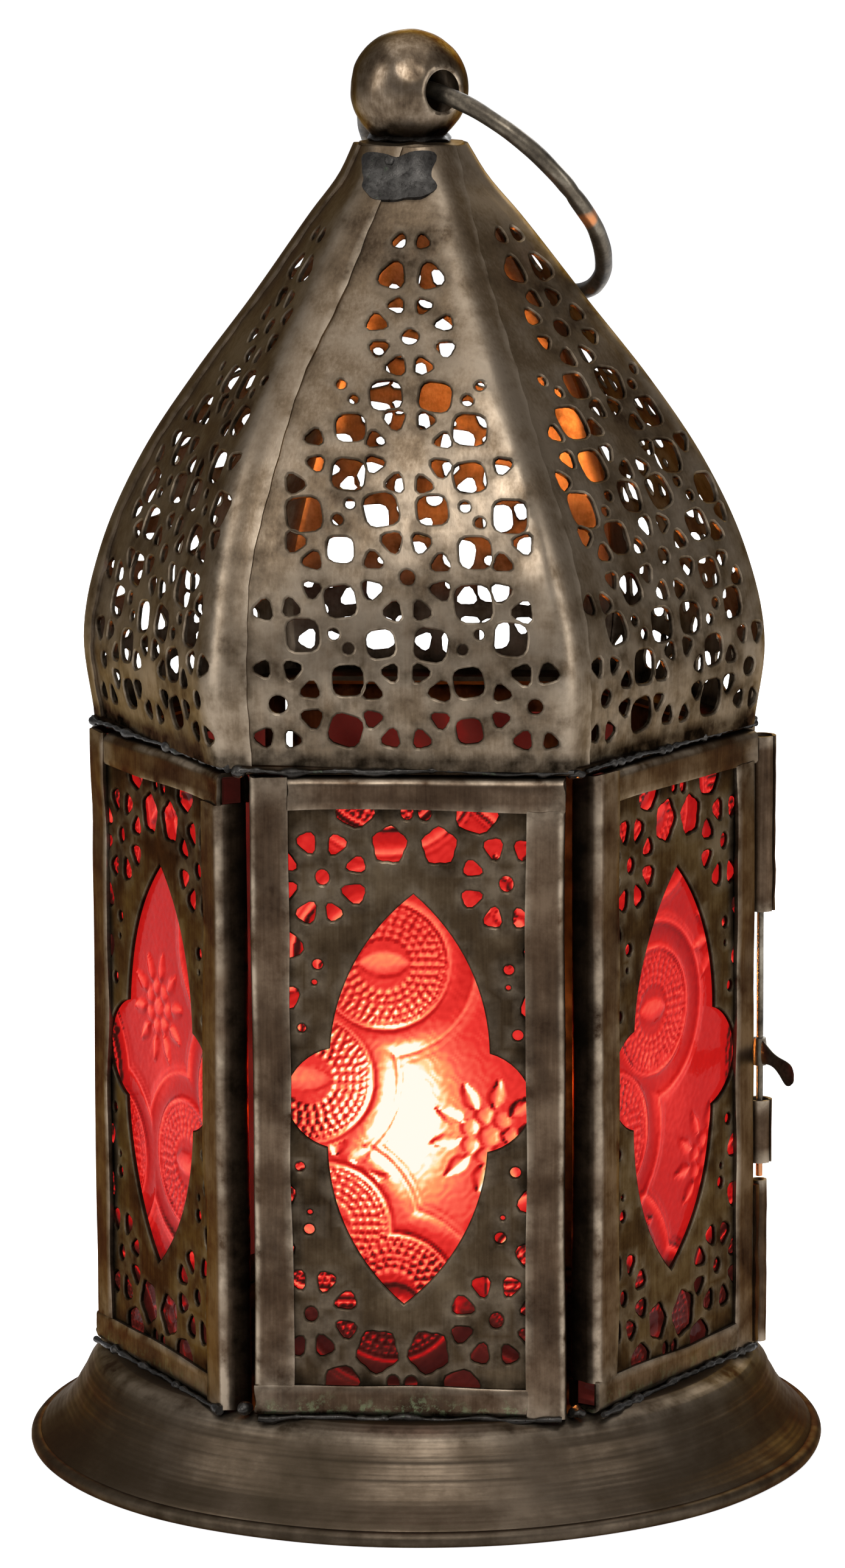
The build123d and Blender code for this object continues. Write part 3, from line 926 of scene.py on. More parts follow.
@dataclass
class Candle:
    """Tin holder, and the tealight that lifts out of it: fluted cup, wax, wick and flame."""

    flutes: int = 60
    flute_depth: float = 0.16
    wall: float = 0.35
    flame_height: float = 25.0
    flame_radius: float = 4.6

    def holder(self) -> None:
        """Make the holder's cup with a rolled lip."""
        low, high = box_mm("candle_holder")
        radius = high.x
        lip = arc_points((radius - 0.45, high.z - 0.45), 0.45, 0, 180, 6)
        outer = [(radius - 3, low.z), (radius - 0.6, low.z), (radius - 0.1, low.z + 0.6), *lip]
        inner = [(radius - 0.8, low.z + 1.0), (radius - 1.4, low.z + 0.6), (0, low.z + 0.6)]
        cup = lathe([(0, low.z), *outer, *inner], 96)
        cup.weights = {"wear": np.clip(cup.points[:, 2] - high.z + 1.2, 0, 1), "grime": np.full(len(cup.points), 0.3)}
        cup.as_piece("candle_holder_cup", SHEET_METAL, Slot.SHEET, "root", ("candle_holder",))

    def cup(self) -> None:
        """Make the tealight's fluted cup with its turned-out lip."""
        low, high = box_mm("tealight_cup")
        radius, lip = high.x, 0.6
        side = radius - lip
        outer = [(0, low.z), (side - 1.2, low.z), (side - 0.4, low.z + 0.3), (side, low.z + 1.1)]
        outer += [(side, z) for z in np.linspace(low.z + 2.5, high.z - 1.2, 6)]
        edge = [(side + 0.1, high.z - 0.5), (radius, high.z - 0.4)]
        edge += [(radius - 0.05, high.z), (side - 0.25, high.z - 0.05)]
        inner = [(side - self.wall, z) for z in np.linspace(high.z - 1.2, low.z + 1.2, 7)]
        inner += [(side - 1.2, low.z + self.wall), (0, low.z + self.wall)]
        cup = lathe([*outer, *edge, *inner], 240)
        turn = np.arctan2(cup.points[:, 1], cup.points[:, 0])
        height = cup.points[:, 2]
        reach = np.clip((height - low.z - 1) / 2, 0, 1) * np.clip((high.z - 0.8 - height) / 2, 0, 1)
        inwards = self.flute_depth * (1 + np.cos(turn * self.flutes)) / 2 * reach
        cup.points[:, :2] *= (1 - inwards / radius)[:, None]
        cup.as_piece("tealight_fluted_cup", ALUMINIUM, Slot.ALUMINIUM, "tealight", ("tealight_cup",))

    def wax(self) -> None:
        """Make the wax with a raised edge and a molten pool."""
        low, high = box_mm("tealight_wax")
        radius = high.x - 0.3
        top = [(radius, high.z - 0.1), (radius - 0.8, high.z - 0.35), (radius - 2.4, high.z - 0.7)]
        top += [(radius - 4.5, high.z - 1.5), (radius * 0.5, high.z - 1.7), (2.0, high.z - 1.6), (1.0, high.z - 1.3)]
        wax = lathe([(0, low.z), (radius, low.z), (radius, low.z + 5), *top, (0, high.z - 1.3)], 72)
        level = np.hypot(wax.points[:, 0], wax.points[:, 1])
        wax.points[:, 2] += 0.15 * Waves(7, 21).at(wax.points) * (level < radius - 2) * (wax.points[:, 2] > low.z + 6)
        wax.weights = {"molten": (level < radius - 4).astype(float)}
        wax.as_piece("tealight_wax_pool", WAX, Slot.WAX, "tealight", ("tealight_wax",))

    def wick(self) -> None:
        """Make the braided wick, bent over at its charred tip."""
        low, high = box_mm("tealight_wick")
        heights = np.linspace(low.z + 0.5, high.z - 0.4, 26)
        rise = (heights - low.z) / (high.z - low.z)
        path = np.column_stack([0.9 * rise**6, 0.5 * rise**5, heights])

        def strand(place: float) -> Array:
            """Three-lobed section that turns along the wick.

            Args:
                place: from 0 at the foot to 1 at the tip.

            Returns:
                The section's points.
            """
            turns = np.linspace(0, 2 * pi, 15, endpoint=False)
            radius = 0.62 * (1 + 0.2 * np.cos(3 * turns + 18 * place)) * (1 - 0.3 * place**8)
            return np.column_stack([radius * np.cos(turns), radius * np.sin(turns)])

        wick = sweep(path, strand)
        wick.weights = {"char": np.clip((wick.points[:, 2] - high.z + 5) / 3, 0, 1)}
        plate = lathe([(0, low.z), (5.8, low.z), (5.9, low.z + 0.25), (1.4, low.z + 0.7), (0, low.z + 0.8)], 40)
        Shape.joined([wick, plate]).as_piece("tealight_braided_wick", WICK, Slot.WICK, "tealight", ("tealight_wick",))
        self.flame(Vector((path[-1][0], path[-1][1], high.z - 2.2)))

    def flame(self, root: Vector) -> None:
        """Make the flame on the wick.

        Args:
            root: where the flame starts.
        """
        places = np.linspace(0, 1, 22)
        widths = self.flame_radius * np.sin(pi * places**0.72) ** 0.9 * (1 - 0.25 * places)
        profile = [(0, 0)] + [(w, p * self.flame_height) for w, p in zip(widths[1:-1], places[1:-1])]
        flame = lathe([*profile, (0, self.flame_height)], 28)
        rise = flame.points[:, 2] / self.flame_height
        flame.points[:, 0] += 0.9 * np.sin(rise * 2.4)
        flame.points[:, 1] += 0.5 * np.sin(rise * 3.1)
        flame.weights = {"rise": rise}
        flame.moved(root.x, root.y, root.z).as_piece("tealight_flame", FLAME, None, "tealight")

    def build(self) -> None:
        """Make the holder and every piece of the tealight."""
        self.holder()
        self.cup()
        self.wax()
        self.wick()


# Folded channels.


@dataclass
class FoldedChannel:
    """Hand-folded channel along +Z, with its web at x = 0 and its outer face at y = 0."""

    face: float
    depth: float
    length: float
    seed: int
    sheet: float = SHEET
    fold: float = 1.15
    step: float = 2.2
    crease: float | None = None
    crust: float = 0.0
    raggedness: float = 0.16

    def pairs(self) -> list[tuple[float, float, float, float, float]]:
        """Outer and inner points of the section, with the wear of each.

        Returns:
            (outer x, outer y, inner x, inner y, wear) from the front lip round to the back lip.
        """
        fold, sheet, face, depth = self.fold, self.sheet, self.face, self.depth
        front = [(face, 0.14, 0, -1), (face - 0.35, 0.0, 0, -1)]
        front += [(x, 0, 0, -1) for x in np.linspace(face - 1.2, fold, 5)]
        turns = [radians(270 - 90 * k / 7) for k in range(1, 8)]
        near = [(fold + fold * cos(t), fold + fold * sin(t), cos(t), sin(t)) for t in turns]
        web = [(0, y, -1, 0) for y in np.linspace(fold, depth - fold, 4)[1:]]
        turns = [radians(180 - 90 * k / 5) for k in range(1, 6)]
        far = [(fold + fold * cos(t), depth - fold + fold * sin(t), cos(t), sin(t)) for t in turns]
        back = [(x, depth, 0, 1) for x in (face / 2, face)]
        wears = [0.7, 0.35] + [0.05] * 5 + [0.2, 0.7, 1.0, 1.0, 0.8, 0.5, 0.2] + [0] * (len(web) + len(far) + 2)
        line = [*front, *near, *web, *far, *back]
        return [(x, y, x - sheet * nx, y - sheet * ny, wear) for (x, y, nx, ny), wear in zip(line, wears)]

    def shape(self) -> Shape:
        """Sweep the section, with waves, dents and rough ends.

        Returns:
            The channel's shape.
        """
        pairs = np.array(self.pairs())
        outline = np.vstack([pairs[:, 0:2], pairs[::-1, 2:4]])
        wear_row = np.r_[pairs[:, 4], pairs[::-1, 4] * 0.3]
        # Painted shade: darker deeper into the groove and on the inner faces.
        groove_shade_row = np.r_[np.clip((pairs[:, 1] - 0.55) / 1.1, 0, 1) * 0.97, np.full(len(pairs), 1.0)]
        stations = np.linspace(0, self.length, max(int(self.length / self.step), 4))
        rng = np.random.default_rng(self.seed)
        count, across = len(stations), len(outline)
        points = np.zeros((count, across, 3))
        points[:, :, :2] = outline
        points[:, :, 2] = stations[:, None]
        spine = np.column_stack([np.zeros(count), np.zeros(count), stations])
        points[:, :, 0] += 0.13 * Waves(38, self.seed + 1).at(spine)[:, None] + 0.05
        points[:, :, 1] += 0.10 * Waves(30, self.seed + 2).at(spine)[:, None]
        lips = np.clip(outline[:, 0] / self.face, 0, 1) ** 2 * (outline[:, 1] < self.depth / 2)
        points[:, :, 0] += 0.22 * Waves(24, self.seed + 3).at(spine)[:, None] * lips
        points[:, :, 1] += 0.12 * Waves(16, self.seed + 4).at(spine)[:, None] * lips
        for _ in range(3):
            spot = np.array([rng.uniform(0.3, 1) * self.face, rng.uniform(0.05, 0.95) * self.length])
            size, deep = rng.uniform(1.5, 3.2), rng.uniform(0.10, 0.26)
            gap = (points[:, :, 0] - spot[0]) ** 2 + ((points[:, :, 2] - spot[1]) * 0.6) ** 2
            points[:, :, 1] += deep * np.exp(-gap / size**2) * (outline[:, 1] < self.depth / 2)
        if self.crease is not None:
            slant = points[:, :, 2] - self.crease - 0.9 * points[:, :, 0]
            points[:, :, 1] += 0.35 * np.exp(-((slant / 0.9) ** 2)) * (outline[:, 1] < 1.2)
        for end, sign in ((0, -1), (-1, 1)):
            rough = sign * self.raggedness * Waves(3, self.seed + 6 + end).at(points[end])
            points[end, :, 2] += np.minimum(rough, 0.05) if sign > 0 else np.maximum(rough, -0.05)
        near_end = np.exp(-(np.minimum(stations, self.length - stations) / 2.2))
        wear = wear_row[None, :] * (0.75 + 0.5 * Waves(9, self.seed + 9).at(spine))[:, None]
        wear += 0.5 * near_end[:, None] * (wear_row > 0)
        # Painted shade in the groove, with dirt near the ends.
        soil_and_shade = np.maximum(groove_shade_row[None, :], 0.35 * near_end[:, None])
        faces = rows_joined(count, across, False, True)
        faces += strip_ends(count, across)
        flat = points.reshape(-1, 3)
        crust = self.crust * np.clip(1.15 - flat[:, 0] / 2.6 + 0.3 * Waves(7, self.seed + 12).at(flat), 0, 1)
        return Shape(flat, faces, {"wear": wear.ravel(), "grime": soil_and_shade.ravel(), "crust": crust})


# Pierced sheets.


@dataclass
class Hole:
    """A hole cut in a sheet, as the radius of its outline against the angle about its centre."""

    centre: tuple[float, float]
    radius: float
    long: float = 1.0
    heading: float = 0.0
    corners: int = 0
    sharpness: float = 0.0
    points: int = 14

    def ring(self, grow: float = 0.0) -> Array:
        """Outline of the hole, in order round it.

        Args:
            grow: how far outside its own edge.

        Returns:
            The outline's points.
        """
        turns = np.linspace(0, 2 * pi, self.points, endpoint=False)
        reach = self.radius * (1 + self.sharpness * np.cos(self.corners * turns)) + grow
        along, across = reach * np.cos(turns) * self.long, reach * np.sin(turns)
        c, s = cos(self.heading), sin(self.heading)
        return np.column_stack(
            [self.centre[0] + along * c - across * s, self.centre[1] + along * s + across * c]
        )

    @property
    def reach(self) -> float:
        """Greatest distance from the centre to the edge."""
        return self.radius * max(self.long, 1) * (1 + self.sharpness)


@dataclass
class Outline:
    """A hole with an outline of its own, such as the window of a fret."""

    edge: Array

    def ring(self, grow: float = 0.0) -> Array:
        """Outline moved outwards by a distance.

        Args:
            grow: the distance.

        Returns:
            The outline's points.
        """
        if grow == 0:
            return self.edge
        along = np.roll(self.edge, -1, axis=0) - np.roll(self.edge, 1, axis=0)
        along /= np.linalg.norm(along, axis=1)[:, None]
        return self.edge + grow * np.column_stack([along[:, 1], -along[:, 0]])


def inside(points: Array, ring: Array) -> Array:
    """Say which points lie inside a closed outline.

    Args:
        points: (n, 2) points.
        ring: (m, 2) outline.

    Returns:
        True for each point inside.
    """
    x, y = points[:, 0][:, None], points[:, 1][:, None]
    x0, y0 = ring[:, 0][None], ring[:, 1][None]
    x1, y1 = np.roll(ring[:, 0], -1)[None], np.roll(ring[:, 1], -1)[None]
    crosses = (y0 > y) != (y1 > y)
    reach = (x1 - x0) * (y - y0) / np.where(y1 == y0, 1e-12, y1 - y0) + x0
    return (np.sum(crosses & (x < reach), axis=1) % 2).astype(bool)


@dataclass
class PiercedSheet:
    """Flat sheet with holes that have soft lips, to be bent into place afterwards."""

    border: Array
    holes: list[Hole | Outline]
    lattice: Array
    lip: float = 0.28
    dip: float = 0.16
    sheet: float = SHEET

    def cut(self) -> tuple[Shape, Array]:
        """Cut the sheet.

        Returns:
            A flat shape whose points are (across, along, height above the front face), and a mark
            that is 1 at the edges of the holes.
        """
        lips = [hole.ring(self.lip) for hole in self.holes]
        keep = inside(self.lattice, self.border)
        for hole in self.holes:
            wide = hole.ring(self.lip + 0.45)
            box = (wide.min(axis=0), wide.max(axis=0))
            near = np.all((self.lattice >= box[0]) & (self.lattice <= box[1]), axis=1) & keep
            keep[np.flatnonzero(near)[inside(self.lattice[near], wide)]] = False
        loops = [self.border, *lips]
        flat = np.vstack([*loops, self.lattice[keep]])
        edges, start, starts = [], 0, []
        for loop in loops:
            edges += [(start + k, start + (k + 1) % len(loop)) for k in range(len(loop))]
            starts.append(start)
            start += len(loop)
        made = delaunay_2d_cdt([Vector(p) for p in flat], edges, [], 0, 1e-5, True)
        places = np.array([tuple(p) for p in made[0]])
        index = {}
        for new, olds in enumerate(made[3]):
            for old in olds:
                index[old] = new
        triangles = np.array([face for face in made[2] if len(face) == 3])
        middles = places[triangles].mean(axis=1)
        kept = inside(middles, self.border)
        for ring in lips:
            box = (ring.min(axis=0), ring.max(axis=0))
            near = np.all((middles >= box[0]) & (middles <= box[1]), axis=1)
            kept[np.flatnonzero(near)[inside(middles[near], ring)]] = False
        triangles = triangles[kept]
        count = len(places)
        rows = [places]
        for hole in self.holes:
            rows.append(hole.ring())
        flat_points = np.vstack(rows)
        total = len(flat_points)
        heights = np.zeros(total)
        heights[count:] = -self.dip
        mark = np.zeros(total)
        mark[count:] = 1.0
        faces = [tuple(t) for t in triangles.tolist()]
        back = [tuple(i + total for i in reversed(t)) for t in triangles.tolist()]
        border = [index[k] for k in range(len(self.border))]
        walls = ring_walls(border, total, False)
        start_rim = count
        for hole, loop_start, ring in zip(self.holes, starts[1:], lips):
            upper = [index[loop_start + k] for k in range(len(ring))]
            rim = [start_rim + k for k in range(len(ring))]
            start_rim += len(ring)
            for k in range(len(ring)):
                n = (k + 1) % len(ring)
                faces.append((upper[n], upper[k], rim[k], rim[n]))
                back.append((rim[n] + total, rim[k] + total, upper[k] + total, upper[n] + total))
            walls += ring_walls(rim, total, True)
            mark[upper] = 0.45
        points = np.column_stack([flat_points, heights])
        rear = np.column_stack([flat_points, np.full(total, -self.sheet)])
        shape = Shape(np.vstack([points, rear]), faces + back + walls)
        return shape, np.r_[mark, mark]


def ring_walls(ring: list[int], shift: int, hole: bool) -> list[tuple[int, ...]]:
    """Walls from an outline on the front to the same outline on the back.

    Args:
        ring: the outline's points on the front.
        shift: from a point on the front to its twin on the back.
        hole: the outline is a hole's, so the walls face inwards.

    Returns:
        The four-sided walls.
    """
    walls = []
    for k, here in enumerate(ring):
        there = ring[(k + 1) % len(ring)]
        wall = (there, here, here + shift, there + shift)
        walls.append(wall if not hole else wall[::-1])
    return walls


def without_loose(shape: Shape) -> Shape:
    """Drop the points that no face uses.

    Args:
        shape: a shape.

    Returns:
        The same shape with only the points in use.
    """
    used = np.zeros(len(shape.points), bool)
    for face in shape.faces:
        used[list(face)] = True
    new = np.cumsum(used) - 1
    faces = [tuple(int(new[i]) for i in face) for face in shape.faces]
    weights = {name: values[used] for name, values in shape.weights.items()}
    return Shape(shape.points[used], faces, weights)


# Glass.


@dataclass
class PressedPattern:
    """Relief of the pressed glass: scalloped bands round beaded fans, with daisies between."""

    fans: tuple = ((-3.3, 18.9), (-13.9, 2.8), (-11.6, -18.0), (-2.5, -28.0), (19.8, -25.6))
    daisies: tuple = ((11.0, -5.1), (15.5, 27.0), (34.0, -8.0))
    across: tuple = (45.0, 4.0)
    along: tuple = (0.8, -75.0)
    depth: float = 0.40

    def places(self, bases: tuple) -> list[tuple[float, float]]:
        """Repeat some centres over the whole plate of glass.

        Args:
            bases: the centres in one repeat.

        Returns:
            The centres in 25 repeats.
        """
        return [
            (x + i * self.across[0] + j * self.along[0], y + i * self.across[1] + j * self.along[1])
            for x, y in bases
            for i in (-2, -1, 0, 1, 2)
            for j in (-2, -1, 0, 1, 2)
        ]

    def fan(self, x: Array, y: Array, centre: tuple[float, float]) -> Array:
        """Beads in rings round an almond, inside one fan.

        Args:
            x: places across the plate.
            y: places up the plate.
            centre: middle of the fan.

        Returns:
            Heights, in shares of the depth.
        """
        dx, dy = x - centre[0], y - centre[1]
        r, turn = np.hypot(dx, dy), np.arctan2(dy, dx)
        height = np.zeros_like(r)
        for ring, bead in ((4.1, 0.50), (5.1, 0.50), (6.1, 0.52), (7.1, 0.52), (8.0, 0.38)):
            count = round(2 * pi * ring / (2.35 * bead))
            gap = (turn * count / (2 * pi) + 0.5) % 1 - 0.5
            off = np.hypot(gap * 2 * pi * ring / count, r - ring)
            height += np.clip(1 - (off / bead) ** 2, 0, 1) ** 0.5
        almond = (dx / 3.6) ** 2 + ((np.abs(dy) + 0.15) / 1.9) ** 1.5
        return height * (r < 8.4) + 1.2 * np.clip(1 - almond, 0, 1) ** 0.5

    def daisy(self, x: Array, y: Array, centre: tuple[float, float]) -> Array:
        """Cluster of beads with pointed petals round it.

        Args:
            x: places across the plate.
            y: places up the plate.
            centre: middle of the daisy.

        Returns:
            Heights, in shares of the depth.
        """
        dx, dy = x - centre[0], y - centre[1]
        r, turn = np.hypot(dx, dy), np.arctan2(dy, dx)
        height = np.clip(1 - (r / 1.45) ** 2, 0, 1) ** 0.5
        gap = (turn * 7 / (2 * pi) + 0.5) % 1 - 0.5
        off = np.hypot(gap * 2 * pi * 2.85 / 7, r - 2.85)
        height = np.maximum(height, np.clip(1 - (off / 1.2) ** 2, 0, 1) ** 0.5)
        gap = (turn * 10 / (2 * pi) + 0.3) % 1 - 0.5
        side = np.abs(gap) * 2 * pi * r / 10
        along = np.clip((r - 4.1) / 4.2, 0, 1)
        width = 1.15 * np.sin(pi * along**0.75)
        petal = 1.25 * np.clip(1 - side / np.maximum(width, 1e-3), 0, 1) ** 0.7
        return np.maximum(height, petal * ((r > 4.1) & (r < 8.3)))

    def height(self, x: Array, y: Array) -> Array:
        """Height of the relief, from 0 to its depth.

        Args:
            x: places across the plate.
            y: places up the plate.

        Returns:
            Heights in millimetres.
        """
        nearest = np.full_like(x, 99.0)
        beads = np.zeros_like(x)
        for centre in self.places(self.fans):
            distance = np.hypot(x - centre[0], y - centre[1])
            nearest = np.minimum(nearest, distance)
            near = distance < 8.6
            if near.any():
                owned = near & (distance <= nearest + 1e-9)
                beads = np.where(owned, self.fan(x, y, centre), beads)
        bands = 1.15 * np.exp(-(((nearest - 8.95) / 0.42) ** 2))
        bands += 1.0 * np.exp(-(((nearest - 12.7) / 0.5) ** 2)) + 0.40 * np.exp(-(((nearest - 13.7) / 0.3) ** 2))
        hollow = -0.40 * np.exp(-(((nearest - 10.8) / 1.1) ** 2))
        flowers = np.zeros_like(x)
        for centre in self.places(self.daisies):
            flowers = np.maximum(flowers, self.daisy(x, y, centre))
        relief = np.where(nearest < 8.5, beads, bands + hollow + flowers * (nearest > 9.8))
        stipple = 0.05 * np.sin(2.9 * x + 1.3 * np.sin(2.1 * y)) * np.sin(3.3 * y + 1.7 * np.sin(1.9 * x))
        return self.depth * (np.clip(relief, -0.4, 1.3) / 1.7 + 0.24) + self.depth * stipple


@dataclass
class PressedPane:
    """One pane of pressed glass with the flame's light, bent by its relief, painted into its glow weight."""

    half: float
    low: float
    high: float
    front: float
    thick: float
    turn: float
    shift: tuple[float, float]
    # Strength of the painted flame hot spot.
    core: float
    pattern: PressedPattern = field(default_factory=PressedPattern)
    pitch: float = 0.36
    flame: tuple[float, float] = (-1.0, 57.5)
    bend: float = 19.0
    sparkle: float = 0.50
    outline: float = 0.42
    ridge: float = 0.20
    shadow: float = 30.5
    inner: float = 0.42

    def light(self, u: Array, z: Array) -> Array:
        """Painted light seen through plain glass at each place, with painted shade low down and under the frame.

        Args:
            u: places across the pane.
            z: heights.

        Returns:
            Levels from 0, unlit, to 1, the flame itself.
        """
        du, dz = u - self.flame[0], z - self.flame[1]
        core = np.exp(-((du / 4.7) ** 2) - (dz / 8.6) ** 2)
        halo = np.exp(-np.hypot(du, dz * 0.72) / 12.0)
        spill = np.exp(-(((du - 3.0) / 8.0) ** 2) - ((dz + 4.0) / 12.0) ** 2)
        level = 0.405 + 0.06 * self.core + (0.05 + 0.22 * self.core) * halo + self.core * (0.50 * core + 0.15 * spill)
        shade = np.clip((z - self.shadow + 4.5) / 10, 0, 1)
        shade = shade * shade * (3 - 2 * shade)
        middle, tall = (self.low + self.high) / 2, (self.high - self.low) / 2
        # Painted shade where the frame covers the pane's edges.
        hidden = np.maximum(np.abs(u) - self.half + 3.6, np.abs(z - middle) - tall + 3.0)
        return level * (0.16 + 0.84 * shade) * np.clip(1.1 - hidden / 1.6, 0.12, 1)

    def shape(self) -> Shape:
        """Build the pane.

        Returns:
            The pane in the panel's own frame, as (u, v, z).
        """
        columns = int(2 * self.half / self.pitch)
        rows = int((self.high - self.low) / self.pitch)
        u, z = np.meshgrid(np.linspace(-self.half, self.half, columns), np.linspace(self.low, self.high, rows))
        middle = (self.low + self.high) / 2
        c, s = cos(radians(self.turn)), sin(radians(self.turn))
        x = u * c + (z - middle) * s + self.shift[0]
        y = -u * s + (z - middle) * c + self.shift[1]
        height = self.pattern.height(x, y)
        step_z, step_u = np.gradient(height, (self.high - self.low) / (rows - 1), 2 * self.half / (columns - 1))
        # Painted light: the flame's glow shifted by the relief's slope, painted sparkle highlights towards the flame,
        # painted dark outlines on steep slopes and brighter raised relief.
        glow = self.light(u + self.bend * step_u, z + self.bend * step_z)
        away = np.hypot(u - self.flame[0], z - self.flame[1]) + 6
        glow += self.sparkle * (step_u * (self.flame[0] - u) + step_z * (self.flame[1] - z)) / away
        glow -= self.outline * np.clip(np.hypot(step_u, step_z) - 0.22, 0, 1)
        glow += self.ridge * (height / self.pattern.depth - 0.3)
        front = np.column_stack([u.ravel(), (self.front + self.pattern.depth + 0.08 - height).ravel(), z.ravel()])
        ripple = 0.05 * Waves(9, 17).at(np.column_stack([u.ravel(), 0 * u.ravel(), z.ravel()])) - 0.06
        back = np.column_stack([u.ravel(), self.front + self.thick + ripple, z.ravel()])
        edge = list(range(columns)) + [columns * (r + 1) - 1 for r in range(1, rows)]
        edge += list(range(columns * rows - 2, columns * (rows - 1) - 1, -1))
        edge += [columns * r for r in range(rows - 2, 0, -1)]
        grid = rows_joined(rows, columns, False, False)
        start = len(front)
        walls = [(there, here, here + start, there + start) for here, there in zip(edge, edge[1:] + edge[:1])]
        rear = [tuple(i + start for i in reversed(face)) for face in grid]
        # The back face gets a dimmer painted glow.
        dim = self.inner * self.light(u, z).ravel() + 1.2 * ripple
        return Shape(np.vstack([front, back]), grid + walls + rear, {"glow": np.r_[glow.ravel(), dim]})


@dataclass
class GlazedPanel:
    """One side of the lantern: four folded channels round a pierced sheet and a pressed pane."""

    plan: Plan
    side: Side
    fret_turn: float = -1.6
    arch_top: float = 29.0
    arch_shoulder: tuple = (8.6, 17.6)
    waist: tuple = (11.0, 7.0)
    lobe_shoulder: tuple = (15.6, 3.9)
    lobe_tip: float = 17.1
    rosette: tuple = (12.8, 30.8)
    drop_ring: float = 5.15
    big: tuple = (3.45, 35.8)
    border_room: float = 19.6

    def __post_init__(self) -> None:
        """Read the panel's own heights and fix its draw of small differences."""
        self.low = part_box(f"{self.side.label}_stile_right")[0].z / MM
        self.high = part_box(f"{self.side.label}_stile_left")[1].z / MM
        self.middle = (self.low + self.high) / 2
        self.seed = 100 + self.side.value
        self.rng = np.random.default_rng(self.seed)

    def placed(self, shape: Shape) -> Shape:
        """Put a shape in (u, v, z) on its side of the lantern.

        Args:
            shape: the shape.

        Returns:
            The shape in the lantern's frame.
        """
        u, v, z = shape.points.T
        front = np.column_stack([u, v - self.plan.apothem, z])
        return Shape(front, shape.faces, shape.weights).turned(self.side.value)

    def channel(self, piece: str, place: Callable[[Array], Array], face: float, length: float) -> None:
        """Make one channel of the frame.

        Args:
            piece: its name in the panel.
            place: carries the channel's own points to (u, v, z).
            face: width of its front face.
            length: its length.
        """
        number = ("stile_left", "stile_right", "rail_top", "rail_bottom").index(piece)
        crease = length * 0.86 if piece == "rail_top" else None
        crust = {"rail_bottom": 0.8 if self.side is Side.FRONT else 0.3}.get(piece, 0.0)
        seed = self.seed * 7 + number * 31
        folded = FoldedChannel(face, self.plan.panel_depth, length, seed, crease=crease, crust=crust).shape()
        folded.points = place(folded.points)
        name = f"{self.side.label}_{piece}"
        self.placed(folded).as_piece(f"{name}_channel", SHEET_METAL, Slot.SHEET, self.side.body, (name,))

    def channels(self) -> None:
        """Make the four channels, each one butting against the side of the next."""
        half, stile, rail = self.plan.panel_half, self.plan.stile_face, self.plan.rail_face
        long = self.high - self.low - rail
        wide = 2 * half - stile
        low, high = self.low, self.high

        def stile_left(p: Array) -> Array:
            """Stand a channel at the left, on the bottom rail."""
            return np.column_stack([p[:, 0] - half, p[:, 1], p[:, 2] + low + rail])

        def stile_right(p: Array) -> Array:
            """Stand a channel at the right, under the top rail."""
            return np.column_stack([half - p[:, 0], p[:, 1], p[:, 2] + low])

        def rail_top(p: Array) -> Array:
            """Lay a channel along the top."""
            return np.column_stack([p[:, 2] + stile - half, p[:, 1], high - p[:, 0]])

        def rail_bottom(p: Array) -> Array:
            """Lay a channel along the bottom."""
            return np.column_stack([half - stile - p[:, 2], p[:, 1], low + p[:, 0]])

        for place in (stile_left, stile_right):
            self.channel(place.__name__, place, stile, long)
        for place in (rail_top, rail_bottom):
            self.channel(place.__name__, place, rail, wide)

    def window(self) -> Outline:
        """Opening of the sheet: a pointed oval with a round lobe at each side."""
        tip, lobe = (0.0, self.arch_top), (self.lobe_tip, 0.0)
        arch = arc_through(tip, self.arch_shoulder, self.waist, 16)
        ear = arc_through(self.waist, self.lobe_shoulder, lobe, 9)
        quarter = np.array(arch + ear[1:])
        right = np.vstack([quarter, quarter[-2::-1] * [1, -1]])
        left = right[-2:0:-1] * [-1, 1]
        return Outline(self.leaned(np.vstack([right, left])[::-1]))

    def leaned(self, points: Array) -> Array:
        """Turn points of the sheet by the lean of its pattern."""
        c, s = cos(radians(self.fret_turn)), sin(radians(self.fret_turn))
        return np.column_stack([points[:, 0] * c - points[:, 1] * s, points[:, 0] * s + points[:, 1] * c])

    def hole(self, x: float, y: float, radius: float, **form: float) -> Hole:
        """A hole of the sheet, a little different each time.

        Args:
            x: place across the sheet.
            y: place up the sheet.
            radius: its radius.
            **form: the rest of the hole's fields.

        Returns:
            The hole, leaned with the pattern.
        """
        place = self.leaned(np.array([[x, y]]))[0] + self.rng.normal(0, 0.10, 2)
        heading = form.pop("heading", 0.0) + radians(self.fret_turn) + self.rng.normal(0, 0.14)
        size = radius * (1 + self.rng.normal(0, 0.06))
        return Hole(tuple(place), size, heading=heading, **form)

